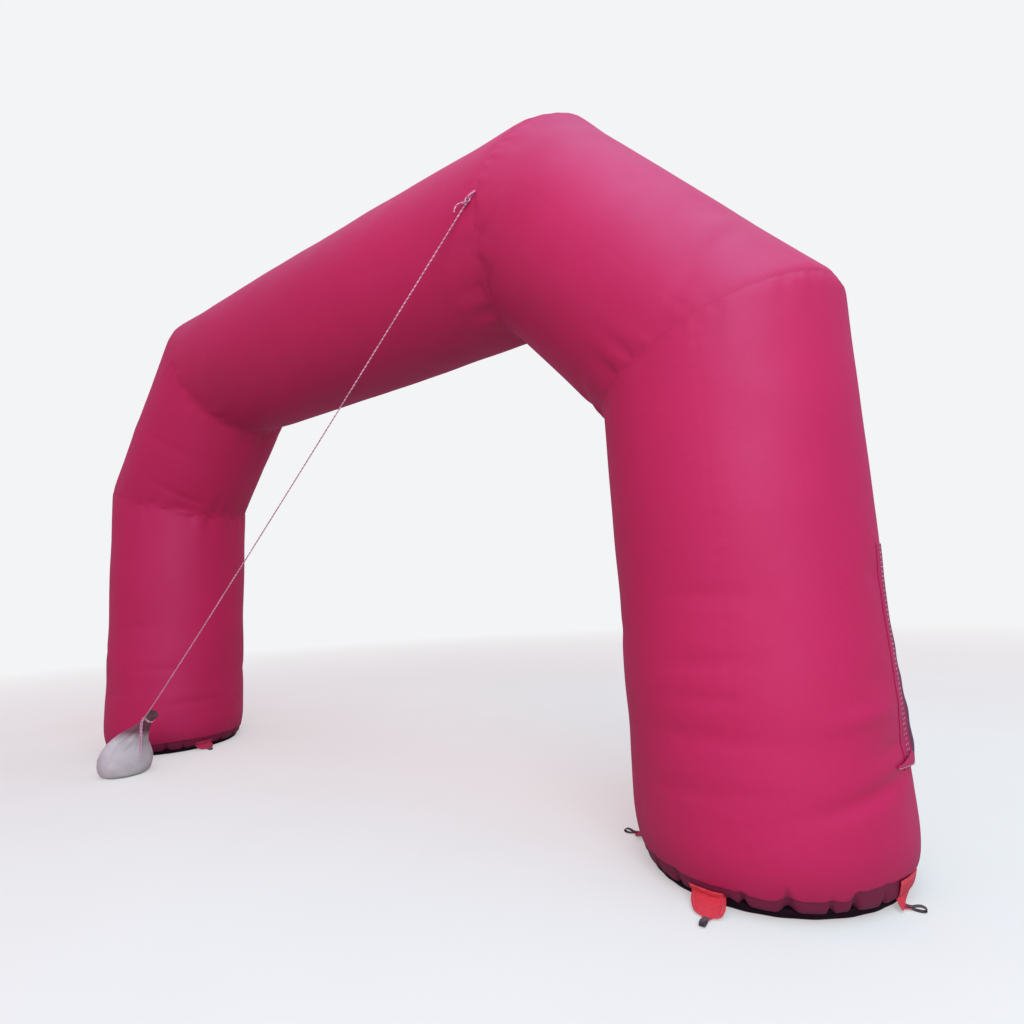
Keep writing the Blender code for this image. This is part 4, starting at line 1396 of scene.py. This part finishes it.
def tab_grid(tube, spec, look):
    """A tab from its top edge to its tip, with a soft fold down its middle.

    The sewn rows lie a little off the foot's skin. A free row is a blend of the lowest of them
    and the flat tip: it leaves the skin early and comes down late, and narrows by the tab's shape.
    """
    middle, top, low, *_ = spec
    tip, way, sideways = tab_frame(tube, spec)
    place = np.linspace(-1, 1, TAB_COLUMNS)
    turn = np.radians(middle + TAB_TURN * place)[None, :]
    angle = np.radians(np.linspace(top, low, TAB_SEWN_ROWS))[:, None] + 0 * turn
    turns = turn + 0 * angle
    sewn = foot_skin(tube, turns, angle, look, tucked=False) + TAB_LIFT * tube.side(turns)
    root = sewn[-1]
    if (root[-1] - root[0]) @ sideways < 0:
        sideways = -sideways
    share = np.linspace(0, 1, TAB_FREE_ROWS + 1)[1:]
    shares, halves = np.array(TAB_SHAPE).T
    half = np.interp(share, shares, halves)[:, None]
    flat = tip + (TAB_CLOTH / 2) * UP - TAB_TIP_FLAT * way
    end = flat + (half * place)[..., None] * sideways
    leave = (share**TAB_LEAVE)[:, None, None]
    settle = (share**TAB_SETTLE)[:, None, None]
    free = root + (end - root) * leave
    free = free + (end - free) * settle
    fold = 0.004 * bell(place - 0.15, 0.25) * np.sin(math.pi * share)[:, None]
    free = free + fold[..., None] * (0.6 * UP + 0.8 * way)
    last = tip + (TAB_CLOTH / 2) * UP + (TAB_TIP_HALF * place)[:, None] * sideways
    closing = np.linspace(0, 1, 6)[1:, None, None]
    tail = free[-1] + (last - free[-1]) * closing
    return np.concatenate([sewn, free, tail]), way


def grid_normals(grid, way):
    """Normals of a grid: the cross product of its two directions, turned to face a given way."""
    down = np.gradient(grid, axis=0)
    over = np.gradient(grid, axis=1)
    normal = unit(np.cross(down, over))
    facing = np.sign((normal @ (way + 0.6 * UP)))[..., None]
    return normal * np.where(facing == 0, 1, facing)


class ARCH_OT_tabs(bpy.types.Operator):
    """Make the anchor tabs with their stitched edges"""

    bl_idname = "arch.tabs"
    bl_label = "Anchor tabs"

    def execute(self, context):
        colours, look, _ = settings()
        coral = cloth_finish("coral cloth", colours.coral, colours.rose_shade, TAB_GLOSS)
        pink = cloth_finish("pink cloth", colours.pink, colours.rose_shade, TAB_GLOSS)
        sewing = finish_named("pale thread", thread, colours.thread)
        for side in ("left", "right"):
            tube = ARCH.tubes["leg_" + side]
            for spot, spec in TABS.items():
                cloth = pink if spot == "inner" else coral
                self.make(f"{side}_{spot}", tube, spec, cloth, sewing, look)
        return {"FINISHED"}

    @staticmethod
    def make(name, tube, spec, cloth, sewing, look):
        grid, way = tab_grid(tube, spec, look)
        wide = arc_lengths(grid[0])
        down = arc_lengths(grid[:, TAB_COLUMNS // 2])
        edge = np.abs(np.linspace(-1, 1, TAB_COLUMNS)) + 0 * down[:, None]
        # Painted shade in a band along each stitched side of the tab.
        marks = {"crease": 0.25 * bell(edge - 0.80, 0.05)}
        piece = sheet_piece("cloth_tab_" + name, grid, cloth, TAB_CLOTH, wide, down, marks)
        finish_piece(piece, "coral_tab", "tab_" + name)
        normals = grid_normals(grid, way)
        sides = [(slice(None), column) for column in (2, TAB_COLUMNS - 3)]
        bars = [(row, slice(1, -1)) for row in (1, 7)]
        stitches = []
        for spot in sides + bars:
            line = grid[spot] + TAB_CLOTH / 2 * normals[spot]
            stitches.append(stitch_row(line, normals[spot], *TAB_STITCH, look.stitch_radius))
        stitches_piece("tab_stitches_" + name, stitches, sewing, "coral_tab")


def strap(name, path, sideways, width, material):
    """A strap along a path: the path's points moved sideways over its width."""
    offsets = np.linspace(-width / 2, width / 2, STRAP_COLUMNS)
    grid = path[:, None] + offsets[:, None] * sideways
    return sheet_piece(name, grid, material, LOOP_THICK, offsets, arc_lengths(path))


class ARCH_OT_loops(bpy.types.Operator):
    """Make the webbing loops at the tips of the tabs"""

    bl_idname = "arch.loops"
    bl_label = "Webbing loops"

    def execute(self, context):
        colours, look, _ = settings()
        black = finish_named("black webbing", webbing, colours.black, look.web_pitch)
        profile = smooth(LOOP_PATH, LOOP_POINTS)
        for side in ("left", "right"):
            tube = ARCH.tubes["leg_" + side]
            for spot, spec in TABS.items():
                tip, way, sideways = tab_frame(tube, spec)
                floor = tip * (1, 1, 0)
                path = floor + profile[:, :1] * way + profile[:, 1:] * UP
                name = f"{side}_{spot}"
                piece = strap("strap_" + name, path, sideways, LOOP_WIDTH, black)
                finish_piece(piece, "black_webbing", "loop_" + name)
        return {"FINISHED"}


def leg_skin_at(turn, height, lift, look):
    """Points off the right leg's skin: its axis, plus its radius with waists, folds and lift."""
    tube = ARCH.tubes["leg_right"]
    out = relief("leg_right", turn, height, [np.ones_like(height)], look) + lift
    for middle, depth, half in LEG_WAISTS:
        out = out - depth * bell(height - middle, half)
    return tube.start + (TUBE_RADIUS + out)[..., None] * tube.side(turn) + height[..., None] * UP


class ARCH_OT_flap(bpy.types.Operator):
    """Make the zip's cover flap, its folded lower lip and its stitches"""

    bl_idname = "arch.flap"
    bl_label = "Zip flap"

    def execute(self, context):
        colours, look, _ = settings()
        cloth = cloth_finish("flap cloth", colours.rose, colours.flap_shade, ROSE_GLOSS)
        rose = rose_finish()
        sewing = finish_named("pale thread", thread, colours.thread)
        rows = smooth(FLAP_ROWS, FLAP_POINTS)
        height = rows[:, :1]
        share = np.linspace(0, 1, FLAP_COLUMNS)[None, :]
        turn = np.radians(FLAP_FRONT_TURN + (FLAP_BACK_TURN - FLAP_FRONT_TURN) * share)
        inner = np.clip(share / FLAP_MIDDLE, 0, 1) ** 2.2
        outer = np.clip((share - FLAP_MIDDLE) / (1 - FLAP_MIDDLE), 0, 1)
        lift = rows[:, 1:2] * inner + (rows[:, 2:] - rows[:, 1:2]) * outer
        ripple = np.sin(TAU * height / FLAP_RIPPLE_PITCH + 1.2 * np.sin(7 * height)) * share**2
        ripple = FLAP_RIPPLE * ripple * bell(height - FLAP_RIPPLE_HEIGHT, 0.45)
        lift = np.clip(lift, 0.0005, None) + ripple + FLAP_OFF
        grid = leg_skin_at(turn + 0 * height, height + 0 * turn, lift, look)
        # Painted shade: a little over most of the flap, rising to dark on its outer edge, which faces
        # away from the light.
        dark = 0.25 + 0.75 * np.clip((share - 0.55) / 0.08, 0, 1)
        marks = {"crease": dark * np.clip(share / 0.2, 0, 1) + 0 * height}
        places = (share[0] * FLAP_FLAT_WIDTH, rows[:, 0])
        piece = sheet_piece("cloth_flap", grid, cloth, FLAP_THICK, *places, marks)
        finish_piece(piece, "rose_cloth", "zip_flap")
        hem_line = self.lip(rose, look)
        outward = ARCH.tubes["leg_right"].side(turn[0])
        stitches = []
        for column in (5, 7):
            way = outward[column] + 0 * grid[:, column]
            stitches.append(stitch_row(grid[:, column] + 0.0016 * way, way, *FLAP_STITCH))
        stitches.append(stitch_row(*hem_line, *LIP_STITCH))
        stitches_piece("flap_stitches", stitches, sewing, "rose_cloth")
        return {"FINISHED"}

    @staticmethod
    def lip(cloth, look):
        """The flap's lower end, folded out: a strip whose height grows towards the outer edge and
        whose stand-off follows half a turn of a curl. Returns the line of its hem."""
        share = np.linspace(0, 1, 22)[None, :]
        curl = np.linspace(0, 1, 14)[:, None]
        turn = np.radians(LIP_TURN - LIP_TURN_WIDTH * share) + 0 * curl
        tall = LIP_TALL[0] + LIP_TALL[1] * share**1.3
        height = LIP_HEIGHT - LIP_DROP * share + tall * curl
        off, more, bow = LIP_LIFT
        lift = off + more * share + bow * np.sin(math.pi * curl) * share
        grid = leg_skin_at(turn, height, lift, look)
        # Painted shade along the lip's fold.
        marks = {"crease": 0.5 * bell(curl, 0.08) + 0 * share}
        places = (share[0] * LIP_FLAT[0], curl[:, 0] * LIP_FLAT[1])
        piece = sheet_piece("flap_lip", grid, cloth, LIP_THICK, *places, marks)
        finish_piece(piece, "rose_cloth")
        steps = row_lengths(grid.swapaxes(0, 1))
        outward = ARCH.tubes["leg_right"].side(turn[1])
        return grid[1] + 0.0012 * outward, outward


def rope_piece(name, line, reference, look, blunt=True):
    """A twisted rope along a line.

    The section is a circle whose radius swells over each strand and dips between them, and the
    pattern turns once in each lay along the line. Blunt ends are drawn in to a closed tip; the
    others stay open, and meet in a ring.
    """
    _, side, lift = frames(line, reference)
    corner = np.linspace(0, TAU, ROPE_SIDES, endpoint=False)[None, :]
    reach = arc_lengths(line)[:, None]
    turned = corner - TAU * reach / look.rope_lay
    strand = np.abs(np.cos(turned * look.strands / 2))
    radius = ROPE_RADIUS * (0.84 + 0.16 * strand**0.7)
    if blunt:
        near = np.minimum(reach, reach[-1] - reach)
        radius = radius * np.sqrt(np.clip(0.12 + near / ROPE_RADIUS, 0, 1))
    shape = np.cos(corner)[..., None] * side[:, None] + np.sin(corner)[..., None] * lift[:, None]
    grid = line[:, None] + radius[..., None] * shape
    tracer = np.clip((np.cos(turned) - 0.5) / 0.4 + 0.5, 0, 1)
    marks = {"groove": np.maximum(np.clip(1 - strand / 0.45, 0, 1), tracer) * 0.85}
    along = reach + 0 * corner
    return tube_piece(name, grid, rope_finish(), ROPE_RADIUS, corner[0], along, marks, caps=blunt)


def helix(centre, axis, reference, radius, turns, count, pitch=0.0):
    """Points round an axis at a radius, from the axis's cross product with a reference on. They
    climb by the pitch in each turn, and their middle is at the centre."""
    first = unit(np.cross(axis, reference))
    second = np.cross(axis, first)
    angle = np.linspace(0, TAU * turns, count)[:, None]
    climb = pitch * (angle / TAU - turns / 2)
    return centre + radius * (np.cos(angle) * first + np.sin(angle) * second) + climb * axis


def ring_piece(centre, axis, radius, look, count):
    """A rope round a centre, square to an axis, whose ends meet."""
    line = helix(centre, axis, UP + 0.3 * FRONT, radius, 1, count)
    return rope_piece("turn", line, axis, look, blunt=False)


def wraps_piece(centre, axis, reference, turns, look):
    """The close turns of a knot round a rope."""
    shape = (HITCH_RADIUS, turns, int(26 * turns), HITCH_PITCH)
    return rope_piece("wraps", helix(centre, axis, reference, *shape), axis, look)


def join_pieces(name, pieces):
    """Several meshes as one object."""
    with bpy.context.temp_override(
        active_object=pieces[0], selected_editable_objects=pieces, selected_objects=pieces
    ):
        bpy.ops.object.join()
    pieces[0].name = name
    pieces[0].data.name = name
    return pieces[0]


def rope_line_frame():
    """Start of the guy rope's line on the crown seam, its direction down, and away from cloth."""
    seam = ARCH.seams["crown_right"]
    start = seam.stitched(np.array(math.pi / 2))
    down = unit(KNOT_PLACE - start)
    away = unit(across(FRONT, down))
    return start, down, away


class ARCH_OT_guy(bpy.types.Operator):
    """Make the guy rope, its loop, its knots and its loose ends"""

    bl_idname = "arch.guy"
    bl_label = "Guy rope"

    def execute(self, context):
        colours, look, _ = settings()
        start, down, away = rope_line_frame()
        self.loop(start, down, away, colours, look)
        knot = self.bight(start, down, away, look)
        tie = self.sack_tie(look)
        line = even(smooth(ROPE_ROUTE, ROPE_POINTS), ROPE_STEP)
        rope = rope_piece("rope_guy", line, FRONT, look)
        finish_piece(rope, "pale_rope", "guy_rope")
        routes = {"guy_tail": GUY_TAIL_ROUTE, **TIE_ROUTES}
        for node, route in routes.items():
            line = even(smooth(route, END_POINTS), ROPE_STEP)
            end = rope_piece("rope_" + node, line, FRONT, look)
            finish_piece(end, "pale_rope", node)
        return {"FINISHED"}

    @staticmethod
    def loop(start, down, away, colours, look):
        """Webbing folded through the seam, in the rope's plane."""
        rose = finish_named("rose webbing", webbing, colours.rose_strap, look.web_pitch)
        profile = smooth(GUY_LOOP_PATH, GUY_LOOP_POINTS)
        path = start + profile[:, :1] * down + profile[:, 1:] * away
        sideways = np.cross(down, away)
        piece = strap("strap_guy", path, sideways, GUY_LOOP_WIDTH, rose)
        finish_piece(piece, "rose_webbing", "guy_loop")

    @staticmethod
    def bight(start, down, away, look):
        """The rope's bight through the loop, with the wraps of its hitch."""
        centre = start + down * BIGHT_ALONG + away * BIGHT_OUT
        ring = ring_piece(centre, away, BIGHT_RADIUS, look, RING_POINTS)
        middle = start + down * HITCH_ALONG + away * BIGHT_OUT
        wraps = wraps_piece(middle, down, away, 2.6, look)
        knot = join_pieces("hitch_guy", [ring, wraps])
        return finish_piece(knot, "pale_rope", "guy_knot")

    @staticmethod
    def sack_tie(look):
        """Two turns round the sack's neck and the wraps of the knot."""
        reach, height, radius, tilt, _ = SACK_SECTIONS[TIE_SECTION]
        centre, axis, _ = sack_frame(reach, height, tilt)
        around = radius + TIE_OFF + ROPE_RADIUS
        pieces = [
            ring_piece(centre + shift * axis, axis, around, look, TURN_POINTS)
            for shift in (-TIE_SHIFT, TIE_SHIFT)
        ]
        down = unit(np.array(ROPE_ROUTE[-1]) - np.array(ROPE_ROUTE[-2]))
        pieces.append(wraps_piece(KNOT_PLACE, down, UP, 2.4, look))
        tie = join_pieces("hitch_sack", pieces)
        return finish_piece(tie, "pale_rope", "sack_tie")


def sack_frame(reach, height, tilt):
    """Centre of a section of the sack, its axis, and the direction in it towards the neck."""
    heading = math.radians(NECK_HEADING)
    lean = np.array((math.cos(heading), math.sin(heading), 0.0))
    angle = np.radians(tilt)
    axis = np.sin(angle) * lean + np.cos(angle) * UP
    forward = np.cos(angle) * lean - np.sin(angle) * UP
    return SACK_PLACE + height * UP + reach * lean, axis, forward


class ARCH_OT_sack(bpy.types.Operator):
    """Make the ballast sack with its gathered neck"""

    bl_idname = "arch.sack"
    bl_label = "Ballast sack"

    def execute(self, context):
        colours, look, _ = settings()
        cloth = finish_named("sack cloth", sack_weave, colours.sack, colours.sack_neck, look)
        grid, turn, along, crease = self.shape()
        marks = {"crease": crease}
        piece = tube_piece("cloth_sack", grid, cloth, SACK_RADIUS, turn, along, marks)
        finish_piece(piece, "sack_cloth", "ballast_sack")
        return {"FINISHED"}

    @staticmethod
    def shape():
        """Rings on tilted sections: centre, plus radius times (1 - gathers + lumps) in a circle.

        The gathers are sharpened waves that grow towards the neck. The first rows spread over the
        flat bottom and the last rows turn down into the mouth.
        """
        table = smooth(SACK_SECTIONS, SACK_ROWS)
        reach, height, radius, tilt, gather = (table[:, k : k + 1] for k in range(5))
        radius = np.clip(radius, NECK_RADIUS, None)
        centre, axis, forward = sack_frame(reach, height, np.clip(tilt, 0, 48))
        sideways = np.cross(axis, forward)
        turn = np.linspace(0, TAU, SACK_AROUND, endpoint=False)[None, :]
        gather = np.clip(gather, 0, None)
        wave = np.abs(np.sin(4 * turn + 0.5 * np.sin(2 * turn))) ** 0.6
        fine = np.abs(np.sin(9.5 * turn + np.sin(3 * turn) + 6 * height)) ** 0.7
        dips = gather * (1 - wave) + 0.45 * gather * (1 - fine)
        neck = bell(height - 0.50, 0.07)
        dips = dips + 0.10 * neck * (0.5 - 0.5 * np.cos(22 * turn))
        full = bell(height - 0.14, 0.14)
        lumps = 0.016 * np.sin(3 * turn + 9 * height) + 0.011 * np.sin(5 * turn - 14 * height + 1)
        creases = 0.012 * np.abs(np.sin(2.5 * turn + 20 * height + 2 * np.sin(turn))) ** 0.5
        drape = np.abs(np.sin(6.5 * turn + 1.2 * np.sin(2 * turn) + 3 * height)) ** 0.5
        pulls = 0.085 * bell(height - 0.36, 0.10) * (1 - drape)
        size = radius * (1 - dips - pulls + full * (lumps - creases))
        circle = np.cos(turn)[..., None] * forward[:, None]
        circle = circle + np.sin(turn)[..., None] * sideways[:, None]
        grid = centre[:, None] + size[..., None] * circle
        grid[..., 2] = np.clip(grid[..., 2], 0.0, None)
        mouth = centre[-1] + (grid[-1:] - centre[-1]) * 0.93 + axis[-1] * 0.001
        inside = centre[-1] + (grid[-1:] - centre[-1]) * 0.80 - axis[-1] * 0.008
        deep = centre[-1] + (grid[-1:] - centre[-1]) * 0.45 - axis[-1] * 0.022
        # Painted shade: darker in the gathers and pulls round the neck, and inside the mouth.
        shade = np.clip(1.5 * dips + 2.5 * pulls, 0, 0.9) * bell(height - 0.48, 0.16)
        grid = np.concatenate([grid, mouth, inside, deep])
        shade = np.concatenate([shade, 0.3 + 0 * shade[:3]])
        along = np.concatenate([height + reach, (height + reach)[-1:] + [[0.01], [0.02], [0.05]]])
        return grid, turn[0], along + 0 * turn, shade


def placed(place, axes):
    """The matrix of something at a place, turned to three directions of its own."""
    return Matrix.Translation(place) @ Matrix(np.array(axes).T.tolist()).to_4x4()


class ARCH_OT_stage(bpy.types.Operator):
    """Make the camera, the pale floor and the soft lights"""

    bl_idname = "arch.stage"
    bl_label = "Stage"

    def execute(self, context):
        _, _, studio = settings()
        self.camera()
        self.floor(studio)
        self.surround(studio)
        for name, (place, target, size, power, colour) in LIGHTS.items():
            self.area(name, place, target, size, getattr(studio, power), colour)
        context.scene.view_settings.view_transform = "Standard"
        return {"FINISHED"}

    @staticmethod
    def camera():
        data = bpy.data.cameras.new("view")
        data.lens = CAMERA_LENS
        data.sensor_width = CAMERA_SENSOR
        data.clip_end = 300
        camera = bpy.data.objects.new("view", data)
        axes = (CAMERA_RIGHT, [-x for x in CAMERA_DOWN], [-x for x in CAMERA_DEPTH])
        camera.matrix_world = placed(CAMERA_PLACE, axes)
        bpy.context.scene.collection.objects.link(camera)
        bpy.context.scene.camera = camera

    @staticmethod
    def floor(studio):
        paint = finish_named("studio floor", floor_paint, studio)
        edge = np.linspace(-FLOOR_HALF, FLOOR_HALF, 9)
        x, y = np.meshgrid(edge, edge)
        grid = np.stack([x, y, 0 * x], axis=-1)
        piece = grid_piece("floor", grid, paint, grid[..., :2])

    @staticmethod
    def surround(studio):
        """A pale surround for the camera, and a weaker one that lights the arch."""
        world = bpy.data.worlds.new("surround")
        world.use_nodes = True
        tree = world.node_tree
        seen = tree.nodes["Background"]
        seen.inputs["Color"].default_value = rgba(studio.surround)
        light = add_node(tree, "ShaderNodeBackground", {"Color": rgba(studio.sky)})
        show_camera(tree, light, seen, "World Output")
        bpy.context.scene.world = world

    @staticmethod
    def area(name, place, target, size, power, colour):
        data = bpy.data.lights.new(name, "AREA")
        data.shape = "DISK"
        data.size = size
        data.energy = power
        data.color = colour
        light = bpy.data.objects.new(name, data)
        back = unit(np.array(place) - np.array(target))
        right = unit(np.cross(UP, back))
        light.matrix_world = placed(place, (right, np.cross(back, right), back))
        bpy.context.scene.collection.objects.link(light)


class ARCH_PT_panel(bpy.types.Panel):
    """The arch's pieces and settings in the sidebar"""

    bl_label = "Inflatable Arch"
    bl_idname = "ARCH_PT_panel"
    bl_space_type = "VIEW_3D"
    bl_region_type = "UI"
    bl_category = "Arch"

    def draw(self, context):
        for operator in OPERATORS:
            self.layout.operator(operator.bl_idname)
        for group in settings():
            box = self.layout.box()
            for key in group.__annotations__:
                box.prop(group, key)


OPERATORS = (
    ARCH_OT_stage,
    ARCH_OT_tubes,
    ARCH_OT_bases,
    ARCH_OT_seams,
    ARCH_OT_tabs,
    ARCH_OT_loops,
    ARCH_OT_flap,
    ARCH_OT_guy,
    ARCH_OT_sack,
)
GROUPS = {
    "arch_colours": ARCH_PG_colours,
    "arch_cloth": ARCH_PG_cloth,
    "arch_studio": ARCH_PG_studio,
}


def register():
    for group in (*GROUPS.values(), *OPERATORS, ARCH_PT_panel):
        bpy.utils.register_class(group)
    for key, group in GROUPS.items():
        setattr(bpy.types.Scene, key, PointerProperty(type=group))


def unregister():
    for key in GROUPS:
        delattr(bpy.types.Scene, key)
    for group in (ARCH_PT_panel, *reversed(OPERATORS), *GROUPS.values()):
        bpy.utils.unregister_class(group)


def main():
    """Makes every piece."""
    register()
    bpy.ops.arch.stage()
    bpy.ops.arch.tubes()
    bpy.ops.arch.bases()
    bpy.ops.arch.seams()
    bpy.ops.arch.tabs()
    bpy.ops.arch.loops()
    bpy.ops.arch.flap()
    bpy.ops.arch.sack()
    bpy.ops.arch.guy()


if __name__ == "__main__":
    main()
